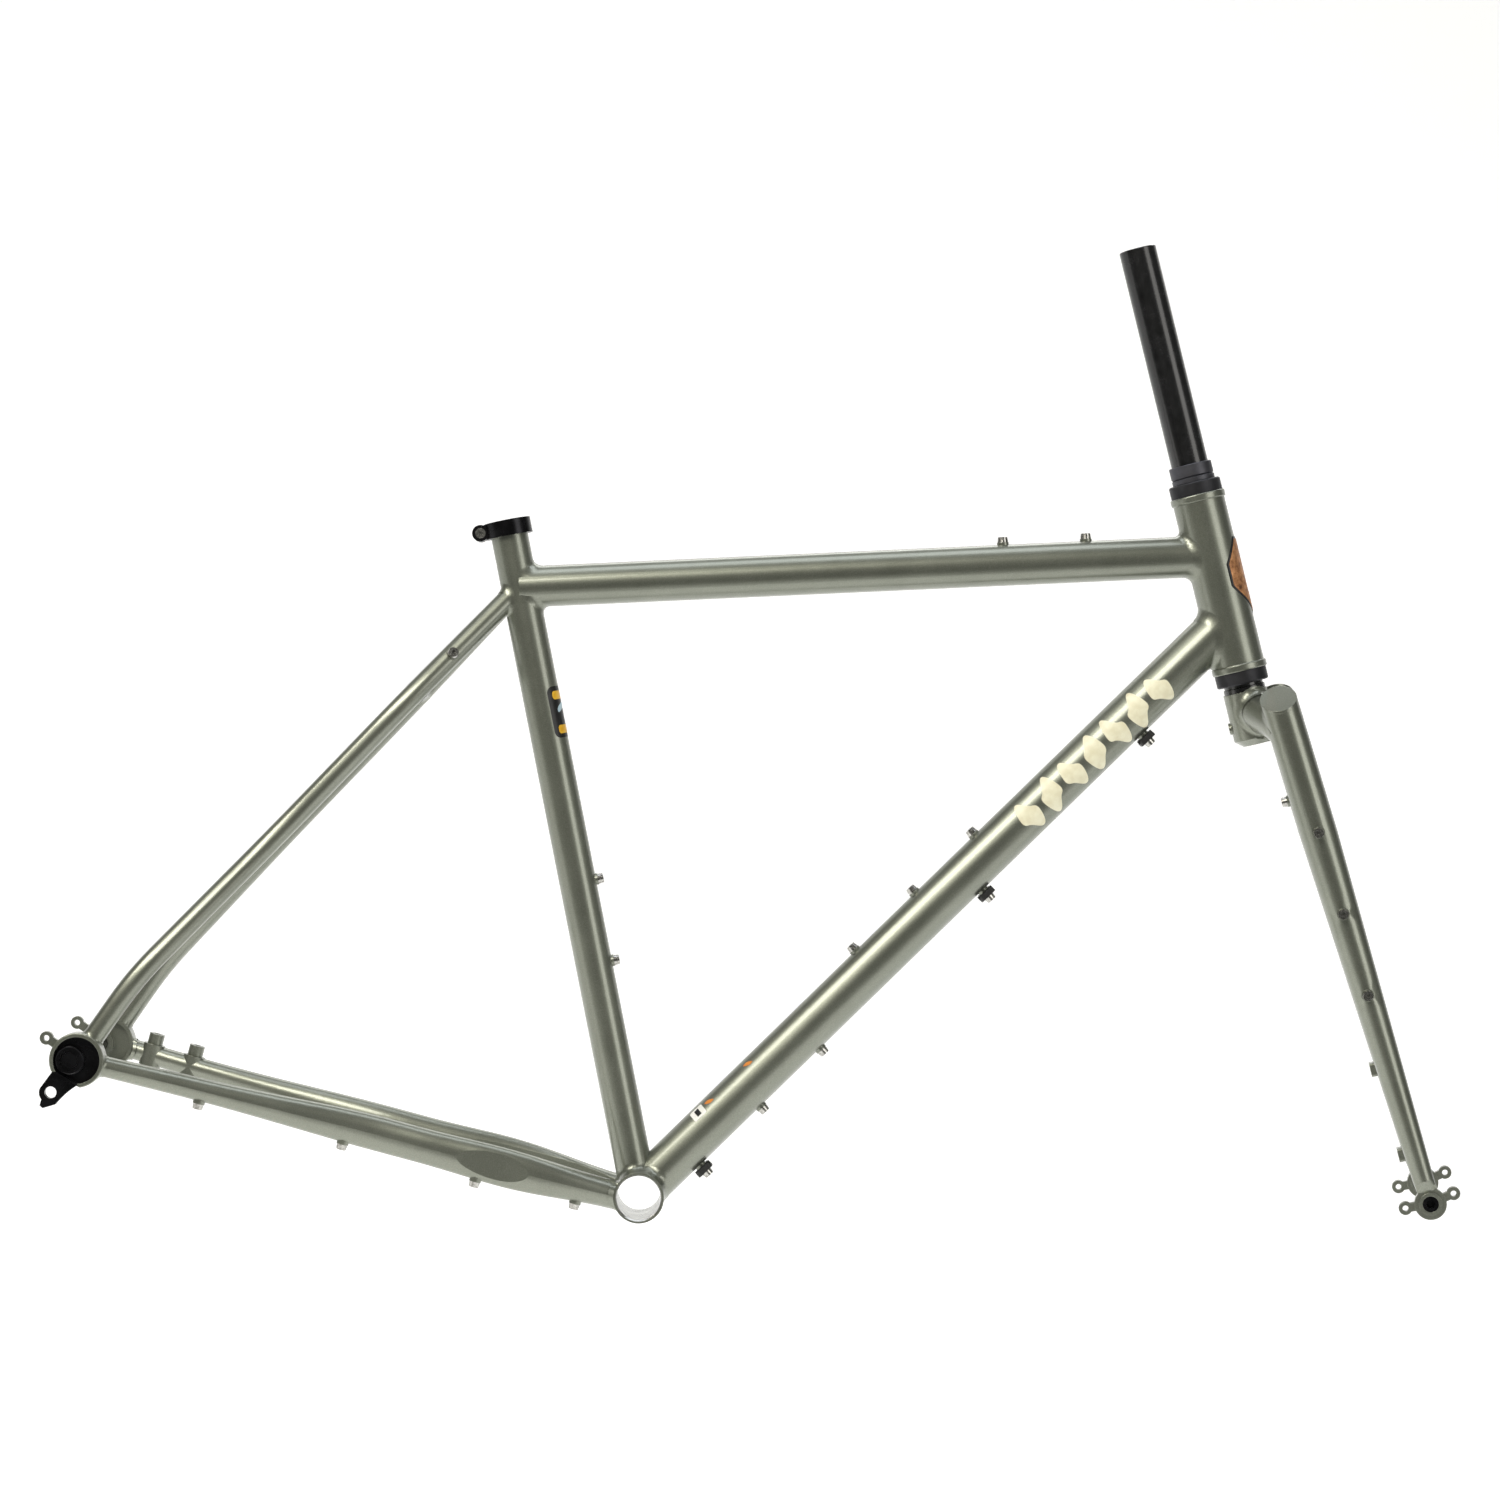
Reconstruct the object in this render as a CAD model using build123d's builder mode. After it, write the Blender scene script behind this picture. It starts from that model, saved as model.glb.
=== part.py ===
from build123d import *

import os
from math import cos, radians, sin, sqrt

# Steel touring-bicycle frame and fork, as an assembly of tubes, fittings and fasteners.
# Origin at the centre of the bottom-bracket shell, +X forward, +Y to the rider's left, +Z up,
# with both wheel axles level. All sizes are in millimetres and degrees.

# ---- frame geometry ----
seat_angle = 72.9               # seat tube above the horizontal, leaning back
head_angle = 70.35              # steering axis above the horizontal, leaning back
seat_tube_length = 527.0        # bottom bracket to the top of the seat tube
top_tube_on_seat_tube = 476.4   # bottom bracket to the top tube's axis
chainstay_length = 440.3        # bottom bracket to rear axle
bottom_bracket_drop = 64.5      # shell centre below the axle line
head_tube_length = 140.0
lower_head_x = 419.5            # centre of the head tube's bottom face
lower_head_z = 448.6
top_tube_below_top = 48.5       # head tube's top face to the top tube's axis, along the head tube
down_tube_above_bottom = 40.8   # head tube's bottom face to the down tube's axis

# ---- tubes ----
head_tube_d = 40.0
head_ring_d = 42.5
head_ring_height = 5.5
head_bore_d = 34.0              # press bore of the headset cups
head_bore_depth = 14.0
head_relief_d = 35.6            # middle of the head tube, turned out between the bores
top_tube_d = 31.8
down_tube_d = 34.9
seatpost_d = 27.2               # reamed bore of the seat tube
seat_tube_wall = 0.7
seat_tube_butt = 0.5            # thinner wall below the reamed length
seat_tube_reamed = 230.0        # from the seat tube's top
seat_tube_d = seatpost_d + 2 * seat_tube_wall
tube_wall = 0.9
shell_d = 38.6
shell_bore_d = 33.8             # crest of the bottom-bracket thread
shell_width = 68.0
shell_chamfer = 0.9
seatstay_d = 16.0
bridge_d = 14.0

# ---- rear end ----
rear_hub_width = 142.0          # between the faces that hold the hub
hood_d = 41.0                   # round hooded dropout, brazed to both stays
hood_wall = 3.0
hood_width = 17.0
hood_ahead = 5.7                # hood centre ahead of and above the axle
hood_above = 1.0
hood_edge = 0.8                 # rounding of the rims
hood_flat = 16.3                # hood centre to the flat above the hanger arm
hood_flat_wall = 1.4
hood_flat_angle = 66.0          # the flat faces down and to the rear, below the horizontal
web_thickness = 4.0
hub_boss_d = 21.0
axle_d = 12.0
axle_clearance = 0.05           # radial, every through-axle in its bores
rear_eyelet_behind = 25.6       # mudguard eyelet behind and above the hood centre
rear_eyelet_above = 13.4
rear_eyelet_inset = 1.3         # eyelet's inner face outside the hood's inner face
eyelet_stem = 6.5
hanger_disc_d = 26.0
hanger_hole_d = 9.0             # crest of the M10 thread that takes the derailleur
hanger_hole_behind = 12.7       # derailleur hole behind and below the axle
hanger_hole_below = 26.0
hanger_notch_gap = 0.5
hanger_bolt_d = 16.0
hanger_bolt_clearance = 0.15    # radial, in the web and the washer
hanger_bolt_head_d = 22.0
hanger_bolt_head_height = 2.5
hanger_washer_d = 22.6
hanger_washer_height = 1.0
hanger_socket = 13.6            # twelve-point recess, across flats
hanger_socket_depth = 1.6
axle_head_d = 20.0
axle_head_height = 6.0
axle_socket = 6.0               # across flats
axle_socket_depth = 4.5

# ---- stays ----
seatstay_start = 2.0            # each seatstay's axis from the middle plane, at the seat tube
seatstay_tyre_spread = 37.0     # and beside the tyre
seatstay_tyre_from = 125.0      # from the seat tube, along the stay, to where it runs beside the tyre
seatstay_tyre_to = 265.0
seatstay_bend_spread = 77.5
seatstay_bend_above = 75.0      # from the hood centre to the bend above it
seatstay_bend_angle = 61.0
bridge_from_seat = 112.0        # seatstay bridge, along the stays
chainstay_low = 3.5             # chainstay axis below the shell centre
chainstay_wall = 0.9
chainstay_shell_spread = 21.0
chainstay_tyre_spread = 39.5
chainstay_tyre_from = 85.0      # from the shell centre, the stretch beside the tyre
chainstay_tyre_to = 216.0
chainstay_sections = (          # share of the stay's length, height, width
    (0.0, 22.2, 22.2),
    (0.07, 22.4, 21.5),
    (0.15, 26.5, 18.5),
    (0.22, 29.4, 16.6),
    (0.30, 28.6, 16.6),
    (0.38, 26.8, 17.4),
    (0.50, 26.2, 17.4),
    (0.60, 23.0, 17.0),
    (0.72, 18.8, 16.6),
    (0.86, 16.6, 16.2),
    (1.0, 16.0, 16.0),
)
dimple_at = 0.25                # share of the stay's length
dimple_depth = 2.0
dimple_radius = 250.0
brake_mount_d = 17.0
brake_mount_height = 17.5
brake_mount_neck_d = 12.0
brake_mount_neck = 8.4
brake_mount_hole_d = 5.4
brake_mount_first = 37.0        # first brake mount from the axle, along the chainstay
brake_mount_spacing = 34.0
chainstay_boss_shares = (0.10, 0.28, 0.52, 0.78)
rack_boss_from_seat = 77.0

# ---- headset and fork ----
cup_d = 40.0
cup_height = 10.0
cup_skirt = 9.0
cup_edge = 1.0
cup_bore_clearance = 0.4        # radial, cup's floor outside the bearing's bore
bearing_d = 37.0
bearing_bore_d = 30.2
bearing_height = 6.5
bearing_gap = 0.5               # cup's mouth to the bearing
race_inset = 1.0                # bearing's inner face to the rings that enter its bore
race_neck = 2.0                 # crown race's neck below the cup's mouth
race_flange = 1.0
bearing_clearance = 0.05        # radial, between bearing bores and what turns in them
steerer_d = 28.6
steerer_wall = 1.6
steerer_chamfer = 0.5
steerer_above = 195.0           # steerer above the head tube
cover_d = 33.0
cover_height = 4.0
cover_gap = 0.4                 # cup's mouth to the cover
cover_edge = 1.0
spacer_height = 9.5
spacer_gap = 0.05               # spacer over the cover
spacer_clearance = 0.1          # radial, spacer on the steerer
spacer_edge = 0.5
sleeve_d = 34.0
sleeve_gap = 16.0               # head tube's bottom face to the crown sleeve
sleeve_length = 41.5
sleeve_chamfer_radial = 6.0
sleeve_chamfer_axial = 5.0
sleeve_floor = 7.5
crown_boss_below = 41.8         # boss on the rear of the sleeve, below the head tube
arm_d = 28.0
arm_wall = 1.6
leg_d = 28.0
leg_end_d = 16.0
leg_wall = 1.1
leg_top = 28.0                  # centre of the leg's slanted top, below the head tube
leg_taper_start = 135.0         # where the leg starts to narrow, below the head tube
leg_end_above_axle = 18.0
leg_cap_angle = 33.0
leg_cap_thickness = 1.6
leg_spread_top = 49.0           # leg axis from the middle plane
leg_spread_axle = 54.25
leg_tilt = 3.05                 # legs lean forward of the steering axis
axle_below_head = 424.0         # front axle below the head tube's bottom face, along the steering axis
fork_rake = 44.0                # front axle ahead of the steering axis
front_hub_width = 100.0
arm_from = 28.4                 # arm's axis below the head tube, at the steering axis and at the leg
arm_to = 49.0
fork_boss_first = 131.0         # bosses on the legs' outer faces, below the head tube
fork_boss_spacing = 64.0
hose_guide_below = 109.0
fork_mount_first = 329.0        # brake mounts on the rear of the left leg
fork_mount_spacing = 70.0
fork_mount_length = 11.0
fork_mount_width = 12.0
fork_mount_proud = 4.0
fork_mount_hole_d = 4.2
fork_plate_inset = 0.5          # hub face to the dropout plate
fork_plate_thickness = 7.0
fork_plate_d = 24.0
fork_plate_boss_d = 17.4
fork_plate_boss = 1.5
fork_tongue_width = 15.0
fork_tongue_inset = 0.3
front_eyelet_rear = (-19.0, 0.7)    # mudguard eyelets from the axle, ahead and above
front_eyelet_front = (18.5, 3.9)
front_axle_short = 1.0          # axle's right end inside the boss
front_axle_head_d = 17.0
steer_at_rest = -8.0            # the fork stands turned to the rider's right

# ---- fittings ----
bolt_head_d = 8.6
bolt_head_height = 4.2
bolt_shank_d = 5.0
bolt_length = 11.0
socket_d = 3.5
socket_depth = 2.6
boss_d = 9.2
boss_proud = 1.6
boss_inside = 5.0
eyelet_d = 10.0
eyelet_hole_d = 4.5
eyelet_thickness = 5.0
bottle_spacing = 64.0
clamp_d = 36.4
clamp_height = 12.0
clamp_lip = 1.6                 # thickness of the lip over the seat tube's end
clamp_ear_reach = 27.8          # seat tube's axis to the end of the ears
clamp_ear_width = 17.0
clamp_ear_height = 11.0
clamp_bolt_behind = 21.4        # clamp bolt behind the seat tube's axis
clamp_bolt_d = 5.0
clamp_bolt_head_d = 8.0
clamp_bolt_head_sunk = 3.0
clamp_slot = 2.6
slot_length = 30.0
slot_end_d = 5.0
badge_height = 62.0
badge_width = 40.0             # straight across; the plate wraps round the tube
badge_thickness = 1.0
badge_above_bottom = 69.0       # badge centre, along the head tube
guide_length = 14.0
guide_width = 16.0
guide_height = 4.8
guide_groove_d = 5.2            # the two hose grooves, and their distance from the middle
guide_groove_spread = 5.0

RIGHT, LEFT = -1, 1
OVERRUN = 60.0                  # length by which a cutting bar runs past what it cuts


# ---- directions and points of the layout ----
def in_plane(angle, back=False):
    """Unit vector in the middle plane, at an angle above the horizontal."""
    reach = -cos(radians(angle)) if back else cos(radians(angle))
    return Vector(reach, 0, sin(radians(angle)))


shell_centre = Vector(0, 0, 0)
seat_up = in_plane(seat_angle, back=True)
head_up = in_plane(head_angle, back=True)
head_ahead = Vector(head_up.Z, 0, -head_up.X)
head_bottom = Vector(lower_head_x, 0, lower_head_z)
head_top = head_bottom + head_up * head_tube_length
top_tube_front = head_top - head_up * top_tube_below_top
top_tube_rear = seat_up * top_tube_on_seat_tube
down_tube_front = head_bottom + head_up * down_tube_above_bottom
seat_tube_top = seat_up * seat_tube_length
rear_axle_x = -sqrt(chainstay_length**2 - bottom_bracket_drop**2)
rear_axle_centre = Vector(rear_axle_x, 0, bottom_bracket_drop)
hood_centre = rear_axle_centre + Vector(hood_ahead, 0, hood_above)
top_tube_back = (top_tube_rear - top_tube_front).normalized()
down_tube_up = (down_tube_front - shell_centre).normalized()

hub_face = rear_hub_width / 2
hood_inner_face = hub_face + 0.5
hood_outer_face = hood_inner_face + hood_width
hood_mid = (hood_inner_face + hood_outer_face) / 2
web_inner = hub_face + 6.0
web_outer = web_inner + web_thickness
axle_bore_r = axle_d / 2 + axle_clearance


def fork_point(ahead, left, down):
    """Point of the fork: ahead of the steering axis, to the left, and below the head tube's bottom face."""
    turn = radians(steer_at_rest)
    turned_ahead = ahead * cos(turn) - left * sin(turn)
    turned_left = ahead * sin(turn) + left * cos(turn)
    return head_bottom - head_up * down + head_ahead * turned_ahead + Vector(0, turned_left, 0)


def fork_direction(ahead, left, down):
    """Direction given in the fork's own ahead, left and down."""
    return (fork_point(ahead, left, down) - fork_point(0, 0, 0)).normalized()


fork_left = fork_direction(0, 1, 0)
fork_ahead = fork_direction(1, 0, 0)


def bar(start, end, radius):
    """Plain round bar between two points, used to cut other pieces."""
    with BuildPart() as rod:
        with BuildSketch(Plane(origin=start, z_dir=(end - start).normalized())):
            Circle(radius)
        extrude(amount=(end - start).length)
    return rod.part


def tube_plane(start, end):
    return Plane(origin=start, x_dir=(0, 1, 0), z_dir=(end - start).normalized())


def write(piece, name):
    """Label a finished piece and write it as its own STEP file."""
    piece.part.label = name
    export_step(piece.part, f"parts/{name}.step")


os.makedirs("parts", exist_ok=True)

head_bar = bar(head_bottom - head_up * 2, head_top + head_up * 2, head_tube_d / 2)
seat_bar = bar(shell_centre, seat_tube_top + seat_up * OVERRUN, seat_tube_d / 2)
lower_ring_bar = bar(head_bottom, head_bottom + head_up * head_ring_height, head_ring_d / 2)
shell_bar = bar(Vector(0, -shell_width, 0), Vector(0, shell_width, 0), shell_d / 2)


# ---- places of the bosses: on a tube, facing out of it ----
def on_tube(start, along, radius, distance, outward):
    """Plane on a tube's surface, with its z axis pointing out of the tube."""
    return Plane(origin=start + along * distance + outward * radius, x_dir=along, z_dir=outward)


seat_front = Vector(seat_up.Z, 0, -seat_up.X)
seat_back = seat_front * -1
down_above = Vector(-down_tube_up.Z, 0, down_tube_up.X)
top_above = Vector(-top_tube_back.Z, 0, top_tube_back.X) * -1

seat_tube_places = [
    on_tube(shell_centre, seat_up, seat_tube_d / 2, 180 + i * bottle_spacing, seat_front) for i in range(2)
]
down_tube_places = [
    on_tube(shell_centre, down_tube_up, down_tube_d / 2, 250 + i * bottle_spacing, down_above)
    for i in range(3)
] + [
    on_tube(shell_centre, down_tube_up, down_tube_d / 2, 114 + i * bottle_spacing, down_above * -1)
    for i in range(2)
]
guide_places = [
    on_tube(shell_centre, down_tube_up, down_tube_d / 2, distance, down_above * -1)
    for distance in (49, 353, 525)
]
top_tube_places = [
    on_tube(top_tube_rear, top_tube_back * -1, top_tube_d / 2, 374 + i * bottle_spacing, top_above)
    for i in range(2)
]


def bosses(places):
    """Threaded bosses set into a tube wall, one solid at each place."""
    with BuildPart() as group:
        for place in places:
            with BuildSketch(place.offset(-boss_inside)):
                Circle(boss_d / 2)
                Circle(bolt_shank_d / 2, mode=Mode.SUBTRACT)
            extrude(amount=boss_inside + boss_proud)
    return group


def bolts(places, seat):
    """Button-head bolts with a hexagon socket, seated this far above each place."""
    with BuildPart() as group:
        for place in places:
            with BuildSketch(place.offset(seat)):
                Circle(bolt_head_d / 2)
            extrude(amount=bolt_head_height, taper=8)
            with BuildSketch(place.offset(seat + bolt_head_height)):
                RegularPolygon(socket_d / 2, 6)
            extrude(amount=-socket_depth, mode=Mode.SUBTRACT)
            with BuildSketch(place.offset(seat)):
                Circle(bolt_shank_d / 2)
            extrude(amount=-bolt_length)
    return group


def boss_holes(places):
    """Bars that open a tube wall where its bosses sit."""
    with BuildPart() as cutters:
        for place in places:
            with BuildSketch(place.offset(-boss_inside - 1)):
                Circle(boss_d / 2)
            extrude(amount=boss_inside + boss_proud + 3)
    return cutters.part


# ---- main tubes ----
with BuildPart() as head_tube:
    with BuildSketch(Plane(origin=head_bottom, x_dir=(0, 1, 0), z_dir=head_up)):
        Circle(head_tube_d / 2)
    extrude(amount=head_tube_length)
    for end, direction in ((head_bottom, head_up), (head_top, head_up * -1)):
        with BuildSketch(Plane(origin=end, x_dir=(0, 1, 0), z_dir=direction)):
            Circle(head_ring_d / 2)
        extrude(amount=head_ring_height)
    with BuildSketch(Plane(origin=head_bottom, x_dir=(0, 1, 0), z_dir=head_up)):
        Circle(head_bore_d / 2)
    extrude(amount=head_tube_length, mode=Mode.SUBTRACT)
    with BuildSketch(Plane(origin=head_bottom + head_up * head_bore_depth, x_dir=(0, 1, 0), z_dir=head_up)):
        Circle(head_relief_d / 2)
    extrude(amount=head_tube_length - 2 * head_bore_depth, mode=Mode.SUBTRACT)
    ring_edges = head_tube.edges().filter_by(
        lambda edge: edge.geom_type == GeomType.CIRCLE and abs(edge.radius - head_ring_d / 2) < 0.01
    )
    fillet(ring_edges, 1.0)
write(head_tube, "head_tube")

with BuildPart() as top_tube:
    with BuildSketch(tube_plane(top_tube_rear, top_tube_front)):
        Circle(top_tube_d / 2)
        Circle(top_tube_d / 2 - tube_wall, mode=Mode.SUBTRACT)
    extrude(amount=(top_tube_front - top_tube_rear).length)
    add(head_bar, mode=Mode.SUBTRACT)
    add(seat_bar, mode=Mode.SUBTRACT)
    add(boss_holes(top_tube_places), mode=Mode.SUBTRACT)
write(top_tube, "top_tube")

with BuildPart() as down_tube:
    with BuildSketch(tube_plane(shell_centre, down_tube_front)):
        Circle(down_tube_d / 2)
        Circle(down_tube_d / 2 - tube_wall, mode=Mode.SUBTRACT)
    extrude(amount=(down_tube_front - shell_centre).length)
    add(head_bar, mode=Mode.SUBTRACT)
    add(lower_ring_bar, mode=Mode.SUBTRACT)
    add(seat_bar, mode=Mode.SUBTRACT)
    add(shell_bar, mode=Mode.SUBTRACT)
    add(boss_holes(down_tube_places + guide_places), mode=Mode.SUBTRACT)
write(down_tube, "down_tube")

with BuildPart() as seat_tube:
    with BuildSketch(tube_plane(shell_centre, seat_tube_top)):
        Circle(seat_tube_d / 2)
        Circle(seatpost_d / 2, mode=Mode.SUBTRACT)
    extrude(amount=seat_tube_length)
    with BuildSketch(tube_plane(shell_centre, seat_tube_top)):
        Circle(seat_tube_d / 2 - seat_tube_butt)
    extrude(amount=seat_tube_length - seat_tube_reamed, mode=Mode.SUBTRACT)
    add(shell_bar, mode=Mode.SUBTRACT)
    add(boss_holes(seat_tube_places), mode=Mode.SUBTRACT)
    # the clamping slot runs down the back of the tube to a round end
    with BuildSketch(Plane(origin=seat_tube_top, x_dir=(0, -1, 0), z_dir=seat_back)):
        Rectangle(clamp_slot, 2 * slot_length)
        with Locations((0, -slot_length)):
            Circle(slot_end_d / 2)
    extrude(amount=seat_tube_d, mode=Mode.SUBTRACT)
write(seat_tube, "seat_tube")

with BuildPart() as bottom_bracket_shell:
    with BuildSketch(Plane.XZ.offset(-shell_width / 2)):
        Circle(shell_d / 2)
        Circle(shell_bore_d / 2, mode=Mode.SUBTRACT)
    extrude(amount=shell_width)
    mouths = bottom_bracket_shell.edges().filter_by(
        lambda edge: edge.geom_type == GeomType.CIRCLE and abs(edge.radius - shell_bore_d / 2) < 0.01
    )
    chamfer(mouths, shell_chamfer)
write(bottom_bracket_shell, "bottom_bracket_shell")

print("main tubes done")


# ---- planes across the bicycle: local x is ahead, local y is up, and +z points to the right ----
def side_plane(side, reach):
    """Upright plane on one side of the bicycle, this far from its middle."""
    return Plane(origin=(0, side * reach, 0), x_dir=(1, 0, 0), z_dir=(0, -1, 0))


def fork_side_plane(side, reach):
    """The same in the fork, turned with it: local y runs up the steering axis."""
    return Plane(origin=fork_point(0, side * reach, 0), x_dir=fork_ahead, z_dir=fork_left * -1)


def hood_bar(side):
    """Cutting bar of the round dropout, wider than the dropout itself."""
    middle = hood_centre + Vector(0, side * hood_mid, 0)
    reach = Vector(0, hood_width, 0)
    return bar(middle - reach, middle + reach, hood_d / 2)


# ---- seatstays ----
seatstay_bend = hood_centre + in_plane(seatstay_bend_angle) * seatstay_bend_above
seatstay_down = (seatstay_bend - top_tube_rear).normalized()


def seatstay_point(side, distance, spread):
    return top_tube_rear + seatstay_down * distance + Vector(0, side * spread, 0)


def seatstay_route(side):
    points = (
        seatstay_point(side, 0, seatstay_start),
        seatstay_point(side, seatstay_tyre_from, seatstay_tyre_spread),
        seatstay_point(side, seatstay_tyre_to, seatstay_tyre_spread),
        seatstay_bend + Vector(0, side * seatstay_bend_spread, 0),
        hood_centre + Vector(0, side * hood_mid, 0),
    )
    with BuildLine() as route:
        FilletPolyline(*points, radius=(200, 260, 160))
    return route.wire()


def seatstay_blank(side, inside=0.0):
    """The stay as a solid bar, taken in by this much."""
    route = seatstay_route(side)
    with BuildPart() as blank:
        with BuildSketch(Plane(origin=route @ 0, z_dir=route % 0)):
            Circle(seatstay_d / 2 - inside)
        sweep(path=route)
    return blank.part


def rack_place(side):
    """Place of the rack boss, on the outer face of the seatstay."""
    top = seatstay_point(side, 0, seatstay_start)
    along = (seatstay_point(side, seatstay_tyre_from, seatstay_tyre_spread) - top).normalized()
    across = (Vector(0, side, 0) - along * (side * along.Y)).normalized()
    return on_tube(top, along, seatstay_d / 2, rack_boss_from_seat, across)


rack_places = [rack_place(side) for side in (RIGHT, LEFT)]


def seatstay(side):
    with BuildPart() as stay:
        add(seatstay_blank(side))
        add(seatstay_blank(side, tube_wall), mode=Mode.SUBTRACT)
        split(bisect_by=Plane.XZ, keep=Keep.TOP if side == RIGHT else Keep.BOTTOM)
        add(seat_bar, mode=Mode.SUBTRACT)
        add(hood_bar(side), mode=Mode.SUBTRACT)
        add(boss_holes([rack_place(side)]), mode=Mode.SUBTRACT)
    return stay


right_seatstay = seatstay(RIGHT)
write(right_seatstay, "right_seatstay")
left_seatstay = seatstay(LEFT)
write(left_seatstay, "left_seatstay")

with BuildPart() as seatstay_bridge:
    bridge_share = bridge_from_seat / seatstay_tyre_from
    bridge_spread = seatstay_start + bridge_share * (seatstay_tyre_spread - seatstay_start)
    with BuildSketch(Plane(origin=seatstay_point(RIGHT, bridge_from_seat, bridge_spread), z_dir=(0, 1, 0))):
        Circle(bridge_d / 2)
        Circle(bridge_d / 2 - tube_wall, mode=Mode.SUBTRACT)
    extrude(amount=2 * bridge_spread)
    for side in (RIGHT, LEFT):
        add(seatstay_blank(side), mode=Mode.SUBTRACT)
write(seatstay_bridge, "seatstay_bridge")


# ---- chainstays ----
shell_end = Vector(0, 0, -chainstay_low)
chainstay_back = (hood_centre - shell_end).normalized()


def chainstay_route(side):
    points = (
        shell_end + chainstay_back * 4 + Vector(0, side * chainstay_shell_spread, 0),
        shell_end + chainstay_back * chainstay_tyre_from + Vector(0, side * chainstay_tyre_spread, 0),
        shell_end + chainstay_back * chainstay_tyre_to + Vector(0, side * chainstay_tyre_spread, 0),
        hood_centre + Vector(0, side * hood_mid, 0),
    )
    with BuildLine() as route:
        FilletPolyline(*points, radius=(160, 300))
    return route.wire()


def chainstay_place(route, share):
    """Section plane of the stay: x across it, y up."""
    along = route % share
    across = (Vector(0, -1, 0) + along * along.Y).normalized()
    return Plane(origin=route @ share, x_dir=across, z_dir=along)


def chainstay_size(share):
    """Height and width of the stay at a share of its length."""
    for (share_a, *size_a), (share_b, *size_b) in zip(chainstay_sections, chainstay_sections[1:]):
        if share_a <= share <= share_b:
            mix = (share - share_a) / (share_b - share_a)
            return [a + (b - a) * mix for a, b in zip(size_a, size_b)]


def chainstay_form(side, wall):
    """The stay's shape, taken in by a wall all round, with its two dimples."""
    route = chainstay_route(side)
    with BuildPart() as form:
        for share, height, width in chainstay_sections:
            with BuildSketch(chainstay_place(route, share)):
                Ellipse(width / 2 - wall, height / 2 - wall)
        loft()
        middle = chainstay_place(route, dimple_at)
        height, width = chainstay_size(dimple_at)
        reach = middle.x_dir * (width / 2 - dimple_depth + dimple_radius)
        tall = middle.y_dir * height
        for centre in (middle.origin + reach, middle.origin - reach):
            add(bar(centre - tall, centre + tall, dimple_radius + wall), mode=Mode.SUBTRACT)
    return form.part


def brake_mount_place(i):
    """Section plane of the left chainstay at a brake mount; its y runs up the mount."""
    route = chainstay_route(LEFT)
    return chainstay_place(route, 1 - (brake_mount_first + i * brake_mount_spacing) / route.length)


def across_mount(i, height):
    """Plane across a brake mount, this far above the stay's axis."""
    place = brake_mount_place(i)
    return Plane(origin=place.origin + place.y_dir * height, x_dir=place.z_dir, z_dir=place.y_dir)


def chainstay_places(side):
    """Places of the bosses, on the underside of the stay."""
    route = chainstay_route(side)
    places = []
    for share in chainstay_boss_shares:
        place = chainstay_place(route, share)
        down = place.y_dir * -1
        low = place.origin + down * (chainstay_size(share)[0] / 2)
        places.append(Plane(origin=low, x_dir=place.z_dir, z_dir=down))
    return places


def chainstay(side):
    with BuildPart() as stay:
        add(chainstay_form(side, 0))
        add(chainstay_form(side, chainstay_wall), mode=Mode.SUBTRACT)
        if side == LEFT:
            for i in range(2):
                with BuildSketch(across_mount(i, -brake_mount_height / 2)):
                    Circle(brake_mount_d / 2)
                extrude(amount=brake_mount_height)
                with BuildSketch(across_mount(i, -brake_mount_height)):
                    Circle(brake_mount_neck_d / 2)
                extrude(amount=2 * brake_mount_height, mode=Mode.SUBTRACT)
        else:
            add(boss_holes(chainstay_places(side)), mode=Mode.SUBTRACT)
        add(shell_bar, mode=Mode.SUBTRACT)
        add(hood_bar(side), mode=Mode.SUBTRACT)
    return stay


right_chainstay = chainstay(RIGHT)
write(right_chainstay, "right_chainstay")
left_chainstay = chainstay(LEFT)
write(left_chainstay, "left_chainstay")

with BuildPart() as rear_brake_mounts:
    for i in range(2):
        with BuildSketch(across_mount(i, -brake_mount_height / 2)):
            Circle(brake_mount_neck_d / 2)
            Circle(brake_mount_hole_d / 2, mode=Mode.SUBTRACT)
        extrude(amount=brake_mount_height + brake_mount_neck)
write(rear_brake_mounts, "rear_brake_mounts")

print("stays done")


# ---- rear dropouts, hanger and rear axle ----
rear_axle_place = (rear_axle_centre.X, rear_axle_centre.Z)
hood_place = (hood_centre.X, hood_centre.Z)
rear_eyelet_place = (hood_centre.X - rear_eyelet_behind, hood_centre.Z + rear_eyelet_above)
hanger_hole_place = (rear_axle_centre.X - hanger_hole_behind, rear_axle_centre.Z - hanger_hole_below)
flat_out = Vector(-cos(radians(hood_flat_angle)), 0, -sin(radians(hood_flat_angle)))


def flat_cut(distance, depth):
    """Box that takes off what lies beyond a flat, this far from the hood's centre."""
    face = Plane(origin=hood_centre + flat_out * distance, x_dir=(0, 1, 0), z_dir=flat_out)
    with BuildPart() as block:
        with BuildSketch(face):
            with Locations((-(hub_face + depth / 2), 0)):
                Rectangle(depth, 3 * hood_d)
        extrude(amount=hood_d)
    return block.part


def hood_pocket(start, end, side):
    """Hollow of the hood between two distances from the middle plane."""
    with BuildPart() as pocket:
        with BuildSketch(side_plane(side, start)):
            with Locations(hood_place):
                Circle(hood_d / 2 - hood_wall)
        extrude(amount=(end - start) * -side)
        if side == RIGHT:
            add(flat_cut(hood_flat - hood_flat_wall, 3 * hood_width), mode=Mode.SUBTRACT)
    return pocket.part


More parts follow.
